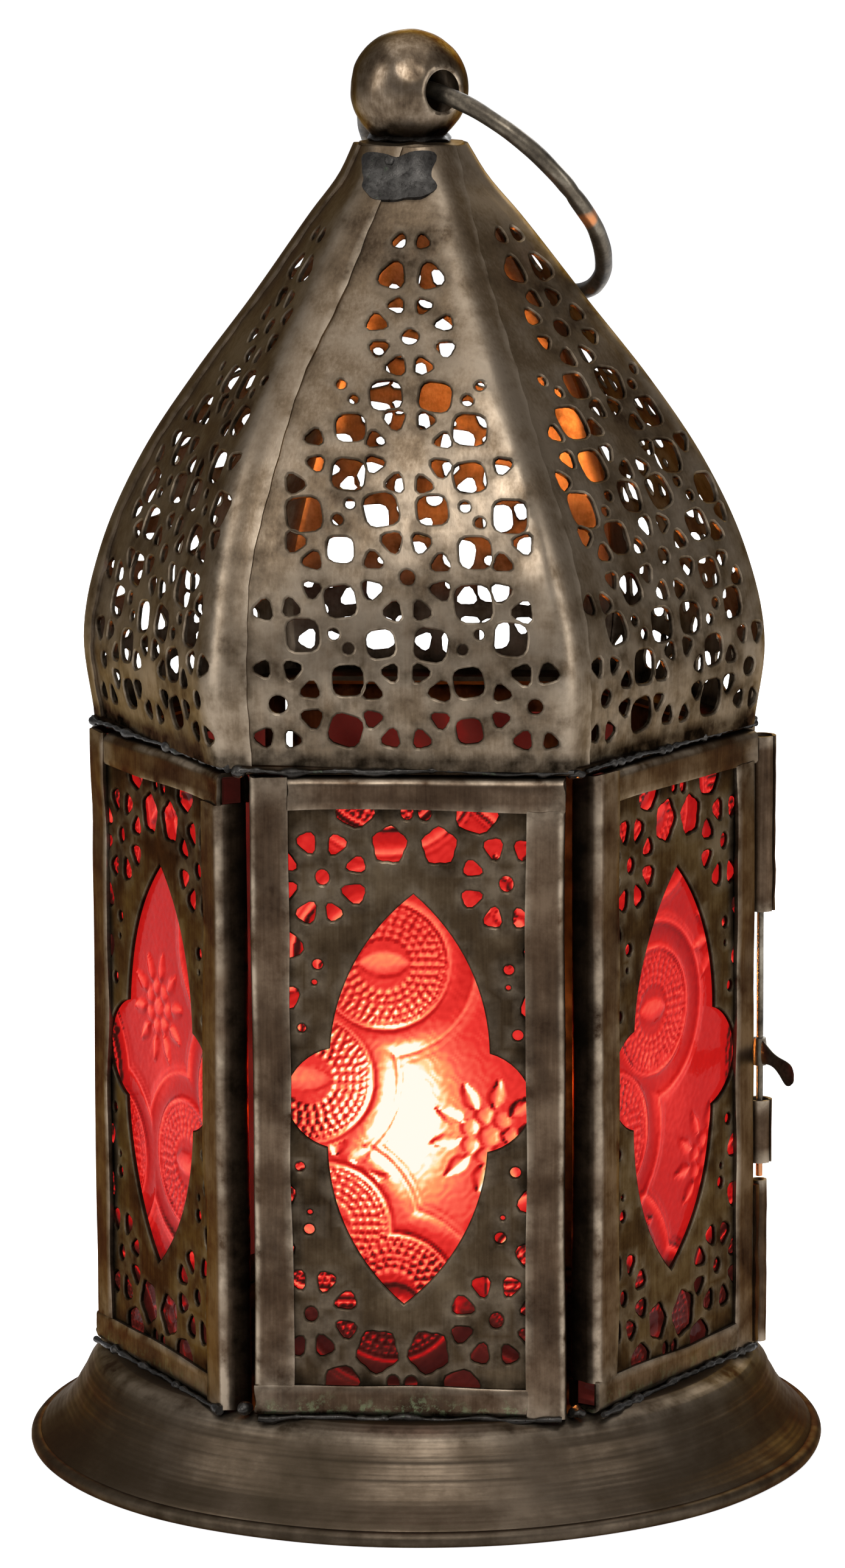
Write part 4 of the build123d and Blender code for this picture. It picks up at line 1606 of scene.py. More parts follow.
    def holes(self) -> list[Hole | Outline]:
        """Every hole of the sheet, quarter by quarter."""
        found: list[Hole | Outline] = [self.window()]
        for sx in (1, -1):
            for sy in (1, -1):
                cx, cy = self.rosette
                found.append(self.hole(sx * cx, sy * cy, 0.95, long=1.15, heading=pi / 2))
                for k in range(8):
                    turn = (k + 0.5) * pi / 4
                    x, y = cx + self.drop_ring * cos(turn), cy + self.drop_ring * sin(turn)
                    heading = atan2(-sy * sin(turn), -sx * cos(turn))
                    if x < self.border_room:
                        drop = {"long": 1.2, "heading": heading, "corners": 3, "sharpness": 0.15}
                        found.append(self.hole(sx * x, sy * y, 1.22, **drop))
                bx, by = self.big
                point = atan2(sy * 1.0, -sx * 0.15)
                found.append(
                    self.hole(sx * bx, sy * by, 2.6, long=1.08, heading=point, corners=5, sharpness=0.09, points=20)
                )
                found.append(self.hole(sx * 8.3, sy * 40.4, 2.3, long=1.1, corners=5, sharpness=0.06, points=18))
                found.append(self.hole(sx * 1.25, sy * 40.3, 0.85, long=1.2, heading=pi / 2))
                found.append(self.hole(sx * 17.0, sy * 21.2, 1.7, corners=3, sharpness=0.12, heading=sx * 0.5))
                found.append(self.hole(sx * 17.0, sy * 13.9, 1.7, corners=3, sharpness=0.12, heading=-sx * 0.5))
                found.append(self.hole(sx * 13.2, sy * 18.9, 0.78))
                found.append(self.hole(sx * 15.0, sy * 9.7, 0.72))
                found.append(self.hole(sx * 13.4, sy * 16.2, 0.36, points=9))
        return found

    def fret(self) -> None:
        """Make the pierced sheet."""
        low, high = box_mm("front_fret")
        half, tall = high.x, (self.high - self.low) / 2 - SHEET
        border = rectangle(half, tall, 1.6)
        across, along = np.meshgrid(np.arange(-half + 1, half, 1.7), np.arange(-tall + 1, tall, 1.7))
        lattice = np.column_stack([across.ravel() + 0.4 * (np.arange(across.size) % 2), along.ravel()])
        shape, mark = PiercedSheet(border, self.holes(), lattice).cut()
        u, w, lift = shape.points.T
        front = low.y + self.plan.apothem
        swell = 0.10 * Waves(26, self.seed + 3).at(np.column_stack([u, w, 0 * u]))
        shape.points = np.column_stack([u, front + 0.12 - swell - lift, w + self.middle])
        plan = self.plan
        # Darker at the hole walls and lips, and painted shade where the sheet runs behind the frame.
        bay = np.maximum(np.abs(u) - (plan.panel_half - plan.stile_face), np.abs(w) - tall + plan.rail_face)
        shape.weights = {
            "wear": 0.25 * (mark == 0.45),
            "grime": np.clip(0.95 * (mark == 1) + 0.25 * (mark == 0.45) + np.clip(bay / 1.0 + 1.0, 0, 0.8), 0, 1),
        }
        piece = f"{self.side.label}_fret"
        self.placed(without_loose(shape)).as_piece(f"{piece}_pierced", FRET_METAL, Slot.SHEET, self.side.body, (piece,))

    def glass(self) -> None:
        """Make the pressed pane."""
        low, high = box_mm("front_glass")
        node = f"{self.side.label}_glass"
        bottom, top = (c.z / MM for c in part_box(node))
        turns = {Side.FRONT: (0, (0, 0)), Side.RIGHT_FRONT: (0, (1.6, 9.8)), Side.LEFT_FRONT: (0, (12.6, -12.9))}
        turn, shift = turns.get(self.side, (self.side.value * 0.7, (self.side.value % 17, self.side.value % 23)))
        # The painted flame hot spot is full on the front pane only; the other panes get a faint one.
        core = 1.0 if self.side is Side.FRONT else 0.08
        pitch = 0.31 if self.side is Side.FRONT else 0.38
        front, thick = low.y + self.plan.apothem, high.y - low.y
        pane = PressedPane(high.x, bottom, top, front, thick, turn, shift, core, pitch=pitch)
        self.placed(pane.shape()).as_piece(f"{node}_pane", GLASS, Slot.GLASS, self.side.body, (node,), sharp=70)

    def build(self) -> None:
        """Make every piece of the panel."""
        self.channels()
        self.fret()
        self.glass()


def rectangle(half_width: float, half_height: float, step: float) -> Array:
    """Outline of a rectangle about the origin, counter-clockwise, in even steps.

    Args:
        half_width: half its width.
        half_height: half its height.
        step: rough distance between points.

    Returns:
        The outline's points.
    """
    corners = [(-1, -1), (1, -1), (1, 1), (-1, 1)]
    points = []
    for k, corner in enumerate(corners):
        start = np.array(corner) * (half_width, half_height)
        end = np.array(corners[(k + 1) % 4]) * (half_width, half_height)
        count = max(int(np.linalg.norm(end - start) / step), 1)
        points += [start + (end - start) * j / count for j in range(count)]
    return np.array(points)


# Dome.


@dataclass
class OnionDome:
    """Six pierced gores, each lapped over the next one's edge, under a cap."""

    plan: Plan
    line: tuple = (
        (41.5, 106.0), (42.7, 117.5), (40.5, 130.0), (35.5, 143.0), (28.6, 155.0),
        (21.5, 165.5), (13.6, 177.5), (9.4, 183.5), (7.5, 187.5),
    )
    corner: float = 6.0
    lap: float = 1.7
    lap_step: float = 0.42
    pitch: float = 17.7
    first_row: float = 8.7
    drop_ring: float = 5.1
    square: tuple = (3.45, 8.45)
    twist: tuple = ((106, -3.3), (124, -3.6), (138, -5.6), (150, -7.6), (160, -9.4), (175, -10.8), (190, -11.0))
    lean: float = -1.5

    def __post_init__(self) -> None:
        """Lay out the gore's side line by its length from the eave."""
        points = np.array(self.line)
        steps = np.r_[0, np.cumsum(np.linalg.norm(np.diff(points, axis=0), axis=1))]
        fine = np.linspace(0, steps[-1], 240)
        self.apothems = smooth_line(steps, points[:, 0], fine)
        self.heights = smooth_line(steps, points[:, 1], fine)
        run = np.hypot(np.diff(self.apothems), np.diff(self.heights))
        self.lengths = np.r_[0, np.cumsum(run)]
        self.length = float(self.lengths[-1])

    def turn_at(self, height: Array) -> Array:
        """Turn of the dome at a height, in radians: its folds wander round as they climb."""
        heights, turns = zip(*self.twist)
        return np.radians(np.interp(height, heights, turns))

    def centre_line(self, s: Array) -> Array:
        """Middle of the pattern across the gore: it climbs straight while the folds wander."""
        apothem, height = (np.interp(s, self.lengths, values) for values in (self.apothems, self.heights))
        return -apothem * np.tan(self.turn_at(height))

    def settled(self, shape: Shape) -> Shape:
        """Turn and lean a shape with the dome.

        Args:
            shape: a shape on the straight dome.

        Returns:
            The shape on the dome as it stands.
        """
        x, y, z = shape.points.T
        turn = self.turn_at(z)
        lean = self.lean * np.clip((z - 150) / 40, 0, 1) ** 2
        points = np.column_stack([x * np.cos(turn) - y * np.sin(turn) + lean, x * np.sin(turn) + y * np.cos(turn), z])
        return Shape(points, shape.faces, shape.weights)

    def flat_half(self, s: Array) -> Array:
        """Half-width of the flat of a gore at a length from the eave."""
        return np.interp(s, self.lengths, self.apothems) * tan(HALF_SIDE) - self.corner * tan(HALF_SIDE)

    def bent(self, u: Array, s: Array, lift: Array) -> Array:
        """Bend flat points round the dome.

        Args:
            u: distance across the gore from its middle, along the sheet.
            s: distance along the gore from the eave.
            lift: height above the sheet's outer face.

        Returns:
            Points of the front gore.
        """
        apothem = np.interp(s, self.lengths, self.apothems)
        height = np.interp(s, self.lengths, self.heights)
        rise_a = np.interp(s, self.lengths, np.gradient(self.apothems, self.lengths))
        rise_z = np.interp(s, self.lengths, np.gradient(self.heights, self.lengths))
        norm = np.hypot(rise_a, rise_z)
        out_a, out_z = rise_z / norm, -rise_a / norm
        flat = self.flat_half(s)
        sign, reach = np.sign(u), np.abs(u)
        turn = np.clip((reach - flat) / self.corner, 0, pi / 3)
        past = np.maximum(reach - flat - self.corner * pi / 3, 0)
        across = np.minimum(reach, flat) + self.corner * np.sin(turn) + past * cos(pi / 3)
        outwards = apothem - self.corner * (1 - np.cos(turn)) - past * sin(pi / 3)
        across = across + lift * out_a * np.sin(turn)
        outwards = outwards + lift * out_a * np.cos(turn)
        height = height + lift * out_z + np.minimum(s, 0)
        return np.column_stack([sign * across, -outwards, height])

    def holes(self, rng: np.random.Generator) -> list[Hole]:
        """Every hole of a gore.

        Args:
            rng: draw for the small differences between holes.

        Returns:
            The holes in the flat sheet.
        """
        found: list[Hole] = []

        def add(x: float, s: float, radius: float, **form: float) -> None:
            """Add a hole if the sheet has room for it there.

            Args:
                x: place across the gore from the pattern's middle.
                s: place along the gore.
                radius: its radius.
                **form: the rest of the hole's fields.
            """
            shift = float(self.centre_line(np.array(s)))
            place = (x + shift + rng.normal(0, 0.13), s + rng.normal(0, 0.13))
            heading = form.pop("heading", 0.0) + rng.normal(0, 0.15)
            hole = Hole(place, radius * (1 + rng.normal(0, 0.07)), heading=heading, **form)
            half = float(self.flat_half(np.array(s)))
            room = half + (1.4 if s < 57 else 0.2)
            if hole.reach + 1.2 < s < 70 and abs(x) + hole.reach < room and x + shift + hole.reach < half + 3.4:
                found.append(hole)

        for row in range(4):
            for column in (-1, 0, 1):
                cx, cs = column * self.pitch, self.first_row + row * self.pitch
                for k in range(8):
                    turn = (k + 0.5) * pi / 4
                    x, s = cx + self.drop_ring * cos(turn), cs + self.drop_ring * sin(turn)
                    add(x, s, 1.22, long=1.08, heading=turn + pi, corners=3, sharpness=0.16)
                if (row + column) % 2:
                    add(cx, cs, 1.2)
                    continue
                near, far = self.square
                for dx, ds in [(a * near, b * far) for a in (1, -1) for b in (1, -1)] + [
                    (a * far, b * near) for a in (1, -1) for b in (1, -1)
                ]:
                    add(cx + dx, cs + ds, 2.45, heading=pi / 4, corners=4, sharpness=0.075, points=20)
            for column in (-1, 0):
                hx, hs = (column + 0.5) * self.pitch, self.first_row + (row + 0.5) * self.pitch
                slope = -1 if (row + column) % 2 else 1
                for way in (1, -1):
                    add(hx + way * 0.95, hs + way * slope * 1.05, 0.75, points=11)
        for way in (1, -1):
            middle = [float(self.centre_line(np.array(s))) for s in (71.2, 76.6)]
            found.append(Hole((middle[0] + way * 2.7, 71.2), 1.8, 1.16, pi / 2 + way * 0.3, 3, 0.13, 18))
            found.append(Hole((middle[1] + way * 1.65, 76.6), 0.95, 1.2, pi / 2 + way * 0.3, 3, 0.12))
        return found

    def gore(self, number: int) -> Shape:
        """Make one gore.

        Args:
            number: which gore, from 1 at the front.

        Returns:
            The gore in place.
        """
        rng = np.random.default_rng(500 + number)
        along = np.linspace(0, self.length, 56)
        flat = self.flat_half(along)
        seam = self.corner * pi / 6
        lap = self.corner * pi / 3 + self.lap
        jag = 0.22 * np.sin(along * 1.9 + number) * np.sin(along * 0.7) + 0.25 * np.sin(along * 0.21 + 2 * number)
        left = np.column_stack([-(flat + seam - 0.25), along])
        right = np.column_stack([flat + lap + jag, along])
        left[0, 1] = right[0, 1] = -0.5
        foot_line = np.column_stack([np.linspace(left[0, 0], right[0, 0], 34), np.full(34, -0.5)])
        head_line = np.column_stack([np.linspace(right[-1, 0], left[-1, 0], 12), np.full(12, self.length)])
        border = np.vstack([foot_line[:-1], right[:-1], head_line[:-1], left[:0:-1]])
        rows = []
        for s in np.arange(0.9, self.length - 0.5, 1.45):
            half = float(self.flat_half(np.array(s)))
            middle = np.linspace(-half, half, max(int(2 * half / 1.7), 3))
            corner = half + np.arange(1, 9) * (self.corner * pi / 3 / 8)
            u = np.r_[-corner[:3], middle, corner, half + lap - 1.1]
            rows.append(np.column_stack([u, np.full(len(u), s)]))
        sheet = PiercedSheet(border, self.holes(rng), np.vstack(rows), lip=0.3, dip=0.17)
        shape, mark = sheet.cut()
        u, s, lift = shape.points.T
        half = self.flat_half(s)
        over = np.clip((u - half - seam * 0.35) / (seam * 0.8), 0, 1)
        over = over * over * (3 - 2 * over)
        plane = np.column_stack([u, s, 40.0 * number * np.ones_like(u)])
        swell = 0.16 * Waves(24, 60 + number).at(plane) + 0.05 * Waves(8, 70 + number).at(plane)
        swell *= np.clip(s / 6, 0, 1)
        points = self.bent(u, s, lift + self.lap_step * over + swell * (1 - over) + 0.02)
        edge = np.clip((u - half - lap + 0.7) / 0.6, 0, 1)
        crest = np.exp(-(((u - half - seam) / 1.5) ** 2))
        shadow = np.clip(1 - np.abs(-u - half + 1.2) / 1.6, 0, 1) * 0.55
        # A painted sheen band lightens the belly of the dome.
        lip, painted_sheen_band = mark == 0.45, np.exp(-(((s - 15) / 13) ** 2))
        wear = np.clip(0.25 * lip + 0.9 * edge + 0.6 * crest + 0.42 * painted_sheen_band, 0, 1)
        # Darker at the hole walls and lips, painted shadow under the neighbouring gore's lap, and painted shade along
        # the bottom under the eave.
        grime = np.clip(0.95 * (mark == 1) + 0.4 * lip + shadow + np.clip((2.5 - s) / 0.9, 0, 1), 0, 1)
        weights = {"wear": wear, "grime": grime * (edge < 0.5)}
        made = without_loose(Shape(points, shape.faces, weights))
        return self.settled(made.turned((number - 1) * 360 / SIDES))

    def eave(self) -> None:
        """Make the six-sided ring between the panels and the gores."""
        low, high = box_mm("eave_ring")
        out, middle = -low.y, (low.z + high.z) / 2
        section = [(out - 0.5, low.z), (out, low.z + 0.2), (out + 0.05, middle)]
        section += [(out, high.z - 0.2), (out - 0.5, high.z)]
        section += [(out - 6.4, high.z - 0.1), (out - 7.0, middle), (out - 6.4, low.z + 0.1)]
        rows, steps = [], 16
        for apothem, z in section:
            turns = [HALF_SIDE + k * 2 * HALF_SIDE for k in range(SIDES)]
            corners = [(apothem / cos(HALF_SIDE)) * np.array([sin(a), -cos(a)]) for a in turns]
            ends = list(zip(corners, corners[1:] + corners[:1]))
            ring = [start + (end - start) * j / steps for start, end in ends for j in range(steps)]
            rows.append(np.column_stack([np.array(ring), np.full(len(ring), z)]))
        points = np.vstack(rows)
        points[:, :2] *= (1 + 0.003 * Waves(20, 81).at(points))[:, None]
        faces = rows_joined(len(section), SIDES * steps, True, True)
        # The whole ring is darkened as painted shade in the recess under the eave.
        ring = Shape(points, faces, {"grime": np.full(len(points), 0.85)})
        ring.as_piece("eave_ring_band", SHEET_METAL, Slot.SHEET, "root", ("eave_ring",))

    def cap(self) -> None:
        """Make the small domed cap that closes the top."""
        low, high = box_mm("dome_cap")
        radius = high.x - 0.1
        profile = [(0, low.z + 0.05), (radius - 0.5, low.z - 0.25), (radius, low.z), (radius - 0.2, low.z + 0.35)]
        profile += [(radius - 1.2, high.z - 0.05), (0, high.z)]
        cap = lathe(profile, 60)
        cap.points[:, 2] += 0.12 * Waves(5, 82).at(cap.points)
        cap.weights = {"grime": np.full(len(cap.points), 0.5), "wear": (cap.points[:, 2] > low.z + 0.2) * 0.4}
        cap.moved(self.lean * 0.8).as_piece("dome_top_cap", DOME_METAL, Slot.SHEET, "root", ("dome_cap",))

    def build(self) -> None:
        """Make the eave ring, the gores and the cap."""
        self.eave()
        for number in range(1, SIDES + 1):
            node = f"dome_gore_{number}"
            self.gore(number).as_piece(f"{node}_pierced", DOME_METAL, Slot.SHEET, "root", (node,))
        self.cap()


# Ball and ring.


@dataclass
class BallAndRing:
    """Hollow ball on its solder collar, and the wire carrying ring through it."""

    plan: Plan
    hole: float = 3.1
    wall: float = 0.6
    wire: float = 1.3
    seed: int = 91

    def ball(self) -> None:
        """Make the ball about the axis of its two holes."""
        radius = self.plan.ball_radius - 0.04
        half = asin(self.hole / radius)
        turns = np.linspace(half + 0.05, pi - half - 0.05, 44)
        outer = [(radius * sin(t), -radius * cos(t)) for t in turns]
        inner = [((radius - self.wall) * sin(t), -(radius - self.wall) * cos(t)) for t in turns[::-1]]
        lip = (self.hole - 0.12, radius * cos(half) - 0.30)
        profile = [*outer, lip, *inner, (lip[0], -lip[1])]
        ball = lathe(profile, 88, closed=True)
        away = ball.points / np.linalg.norm(ball.points, axis=1)[:, None]
        dents = 0.09 * Waves(7, self.seed).at(ball.points) + 0.03 * Waves(2.4, self.seed + 1).at(ball.points)
        ball.points += away * (np.minimum(dents, 0.02) - 0.03)[:, None]
        reach = np.hypot(ball.points[:, 0], ball.points[:, 1])
        ball.weights = {"wear": np.clip((self.hole + 0.9 - reach) / 0.8, 0, 1)}
        axis = Vector(self.ring_joint()["axis"])
        turn = Vector((0, 0, 1)).rotation_difference(axis)
        ball.points = np.array([turn @ Vector(p) for p in ball.points])
        # Painted shade darkens the lower half of the ball, with dirt patches there.
        low = np.clip((-ball.points[:, 2] - 3.4) / 3, 0, 1)
        patch = np.clip(Waves(6, self.seed + 3).at(ball.points) * 1.5, 0, 1) * low
        ball.weights["grime"] = np.clip(0.55 * low + patch, 0, 1)
        ball.moved(*self.plan.ball).as_piece("finial_hollow_ball", BALL_METAL, Slot.SHEET, "root", ("finial_ball",))

    @staticmethod
    def ring_joint() -> dict:
        """The joint that the ring swings about."""
        return next(joint for joint in frame["joints"] if joint["name"] == "ring_swing")

    def collar(self) -> None:
        """Make the lumpy solder collar under the ball."""
        low, high = box_mm("ball_collar")
        centre = (low + high) / 2
        radius = (high.x - low.x) / 2
        profile = [(0, low.z + 0.3), (radius - 0.2, low.z), (radius + 0.1, low.z + 0.25), (radius - 0.3, low.z + 0.75)]
        profile += [(radius - 1.1, high.z + 0.1), (radius - 2.2, high.z + 0.5), (0, high.z + 0.4)]
        collar = lathe(profile, 72)
        reach = np.hypot(collar.points[:, 0], collar.points[:, 1])
        collar.points[:, :2] *= (1 + 0.05 * Waves(5, self.seed + 5).at(collar.points))[:, None]
        collar.points[:, 2] += 0.14 * Waves(3.5, self.seed + 6).at(collar.points) * (reach > 1)
        collar.moved(centre.x, centre.y).as_piece("ball_solder_collar", SOLDER, Slot.SOLDER, "root", ("ball_collar",))

    def ring(self) -> None:
        """Make the wire ring, a little uneven, with its butted ends."""
        low, high = box_mm("carry_ring")
        centre = (low + high) / 2
        joint = self.ring_joint()
        axis = Vector(joint["axis"]).normalized()
        anchor = Vector(joint["pos_m"]) / MM
        out = (centre - anchor).normalized()
        reach = (centre - anchor).length + 0.55
        turns = np.linspace(0, 2 * pi, 150, endpoint=False)
        path = np.array([centre + reach * (out * -cos(t) + axis * sin(t)) for t in turns])
        joint_place = 0.24

        def wire(place: float) -> Array:
            """Section with hammer marks, thinner and then lumpy at the butted ends.

            Args:
                place: from 0 to 1 round the ring.

            Returns:
                The section's points.
            """
            gap = (place - joint_place) / 0.006
            size = self.wire * (1 - 0.05 * abs(sin(37 * place)) - 0.10 * exp(-gap * gap))
            return round_section(size - 0.03, 18)

        ring = sweep(path, wire, closed=True)
        place = np.repeat(np.arange(150) / 150, 18)
        ring.points += 0.05 * np.column_stack([Waves(6, self.seed + k).at(ring.points) for k in (7, 8, 9)])
        ring.weights = {"bare": np.exp(-(((place - joint_place - 0.035) / 0.020) ** 2)) * 0.42}
        ring.as_piece("carry_ring_wire", WIRE, Slot.WIRE, "ring", ("carry_ring",))

    def build(self) -> None:
        """Make the ball, its collar and the ring."""
        self.ball()
        self.collar()
        self.ring()


# Hinge and bolt.


@dataclass
class RolledTube:
    """Tube rolled from sheet metal, open along a narrow seam."""

    centre: tuple[float, float]
    radius: float
    low: float
    high: float
    seam: float
    seed: int
    sheet: float = 0.55
    gap: float = 0.16

    def shape(self) -> Shape:
        """Roll the sheet into a tube.

        Returns:
            The tube in place.
        """
        turns = np.linspace(self.gap, 2 * pi - self.gap, 40) + radians(self.seam)
        outer = np.column_stack([np.cos(turns), np.sin(turns)]) * self.radius
        inner = np.column_stack([np.cos(turns), np.sin(turns)])[::-1] * (self.radius - self.sheet)
        outline = np.vstack([outer, inner])
        heights = np.linspace(self.low, self.high, max(int((self.high - self.low) / 1.8), 4))
        points = np.zeros((len(heights), len(outline), 3))
        points[:, :, :2] = outline
        points[:, :, 2] = heights[:, None]
        flat = points.reshape(-1, 3)
        flat[:, :2] *= (1 + 0.03 * (Waves(6, self.seed).at(flat) - 1))[:, None]
        faces = rows_joined(len(heights), len(outline), False, True)
        faces += strip_ends(len(heights), len(outline))
        ends = np.minimum(flat[:, 2] - self.low, self.high - flat[:, 2])
        weights = {"wear": np.clip(1 - ends / 1.2, 0, 1), "grime": np.full(len(flat), 0.25)}
        return Shape(flat, faces, weights).moved(*self.centre)


@dataclass
class DoorGear:
    """Pin hinge at one edge of the door and drop bolt at the other."""

    plan: Plan

    def strap(self, azimuth: float, side: int, low: float, high: float, seed: int) -> Shape:
        """Web of solder from a tube to the stile beside it.

        Args:
            azimuth: side of the lantern that the stile is on.
            side: 1 if the tube is at its right, -1 at its left.
            low: lower end.
            high: upper end.
            seed: number that fixes its lumps.

        Returns:
            The web in place.
        """
        corner = self.corner_radius()
        heights = np.linspace(low + 0.4, high - 0.4, max(int((high - low) / 1.2), 5))
        start, end = self.plan.panel_half - 0.25, corner * sin(HALF_SIDE) - 1.35
        depth = corner * cos(HALF_SIDE)
        waist = start + 0.6
        ring = [(start, 1.3), (waist, 0.95), (end, 0.8), (end, -0.8), (waist, -0.85), (start, -1.1)]
        rows = [(side * x, -depth + y, z) for z in heights for x, y in ring]
        count, across = len(heights), len(ring)
        web = Shape(np.array(rows), rows_joined(count, across, False, True))
        web.faces.append(tuple(range(across)))
        web.faces.append(tuple(reversed(range((count - 1) * across, count * across))))
        web.points += 0.10 * np.column_stack([Waves(3, seed + k).at(web.points) for k in range(3)])
        return web.turned(azimuth)

    def corner_radius(self) -> float:
        """Distance from the lantern's centre to the pin and to the bolt."""
        low, high = box_mm("hinge_pin")
        centre = (low + high) / 2
        return hypot(centre.x, centre.y)

    def knuckles(self) -> None:
        """Make the three knuckles of the hinge and its pin."""
        low, high = box_mm("hinge_pin")
        centre = (low + high) / 2
        place = (centre.x, centre.y)
        frame_low, frame_high = box_mm("hinge_knuckles_frame")
        door_low, door_high = box_mm("hinge_knuckle_door")
        outer = 2.2
        spans = [(frame_low.z, door_low.z - 0.4), (door_high.z + 0.4, frame_high.z)]
        rear = [RolledTube(place, outer, a, b, 60, 200 + k).shape() for k, (a, b) in enumerate(spans)]
        rear += [self.strap(Side.REAR.value, -1, a, b, 210 + k) for k, (a, b) in enumerate(spans)]
        Shape.joined(rear).as_piece(
            "hinge_rolled_knuckles_frame", SHEET_METAL, Slot.SHEET, "root", ("hinge_knuckles_frame",)
        )
        door = [RolledTube(place, outer, door_low.z, door_high.z, 200, 220).shape()]
        door.append(self.strap(Side.DOOR.value, 1, door_low.z, door_high.z, 221))
        Shape.joined(door).as_piece(
            "hinge_rolled_knuckle_door", SHEET_METAL, Slot.SHEET, "door", ("hinge_knuckle_door",)
        )
        pin_radius = (high.x - low.x) / 2
        profile = [(0, low.z), (pin_radius * 0.8, low.z + 0.15), (pin_radius, low.z + 0.6)]
        profile += [(pin_radius, z) for z in np.linspace(low.z + 3, high.z - 3, 24)]
        profile += [(pin_radius, high.z - 0.5), (pin_radius * 0.7, high.z - 0.1), (0, high.z)]
        pin = lathe(profile, 24).moved(*place)
        pin.weights = {"bare": np.zeros(len(pin.points))}
        pin.as_piece("hinge_wire_pin", WIRE, Slot.WIRE, "root", ("hinge_pin",))

    def bolt(self) -> None:
        """Make the bolt's guides, its keeper, its rod and its tongue."""
        low, high = box_mm("bolt_rod")
        centre = (low + high) / 2
        place = (centre.x, centre.y)
        guide_low, guide_high = box_mm("bolt_guides")
        lower, upper = (guide_low.z, 50.2), (78.0, guide_high.z)
        guides = []
        for k, (a, b) in enumerate((lower, upper)):
            guides.append(RolledTube(place, 2.2 - 0.35 * (k == 0), a, b, 330, 230 + k).shape())
            guides.append(self.strap(Side.DOOR.value, -1, a, b, 240 + k))
        Shape.joined(guides).as_piece("bolt_rolled_guides", SHEET_METAL, Slot.SHEET, "door", ("bolt_guides",))
        keeper_low, keeper_high = box_mm("bolt_keeper")
        keeper = RolledTube(place, 1.15, keeper_low.z + 0.1, keeper_high.z, 200, 250, sheet=0.4).shape()
        web = self.strap(Side.RIGHT_FRONT.value, 1, keeper_low.z + 0.2, keeper_high.z, 251)
        Shape.joined([keeper, web]).as_piece("bolt_rolled_keeper", SHEET_METAL, Slot.SHEET, "root", ("bolt_keeper",))
        radius = (high.x - low.x) / 2
        heights = np.linspace(low.z + 0.1, high.z - 0.1, 40)
        path = np.column_stack([np.full(40, place[0]), np.full(40, place[1]), heights])
        rod = sweep(path, lambda t: round_section(radius, 14))
        rod.weights = {"bare": np.full(len(rod.points), 0.16)}
        rod.as_piece("bolt_wire_rod", WIRE, Slot.WIRE, "bolt", ("bolt_rod",))
        self.tongue(place)

    def tongue(self, place: tuple[float, float]) -> None:
        """Make the finger tongue: a flattened, drooping tear of wire.

        Args:
            place: where the rod stands.
        """
        low, high = box_mm("bolt_tongue")
        far = np.array([high.x, low.y if abs(low.y - place[1]) > abs(high.y - place[1]) else high.y])
        span = np.hypot(*(far - np.array(place))) - 0.6
        heading = (far - np.array(place)) / np.linalg.norm(far - np.array(place))
        rise = np.linspace(0, 1, 26)
        drop = high.z - 2.2 - (high.z - low.z - 3.9) * (0.6 * rise**1.2 + 0.4 * rise**3)
        path = np.column_stack([place[0] + heading[0] * span * rise, place[1] + heading[1] * span * rise, drop])

        def blade(t: float) -> Array:
            """Flattened section, tall at the root and rounded off at the tip.

            Args:
                t: from 0 at the root to 1 at the tip.

            Returns:
                The section's points.
            """
            turns = np.linspace(0, 2 * pi, 18, endpoint=False)
            tall = (2.05 - 1.0 * sin(pi * min(t * 1.15, 1)) ** 1.2) * sqrt(max(1 - t**9, 0.02))
            return np.column_stack([0.38 * np.cos(turns) * max(1 - t**12, 0.2), tall * np.sin(turns)])

        tongue = sweep(path, blade)
        collar = [(0, high.z - 4.4), (0.95, high.z - 4.2), (1.05, high.z - 2), (0.9, high.z - 0.2), (0, high.z)]
        wrap = lathe(collar, 24).moved(*place)
        joined = Shape.joined([tongue, wrap])
        joined.weights = {"bare": np.full(len(joined.points), 0.05)}
        joined.as_piece("bolt_finger_tongue", WIRE, Slot.WIRE, "bolt", ("bolt_tongue",))

    def build(self) -> None:
        """Make the hinge and the bolt."""
        self.knuckles()
        self.bolt()


# Solder.


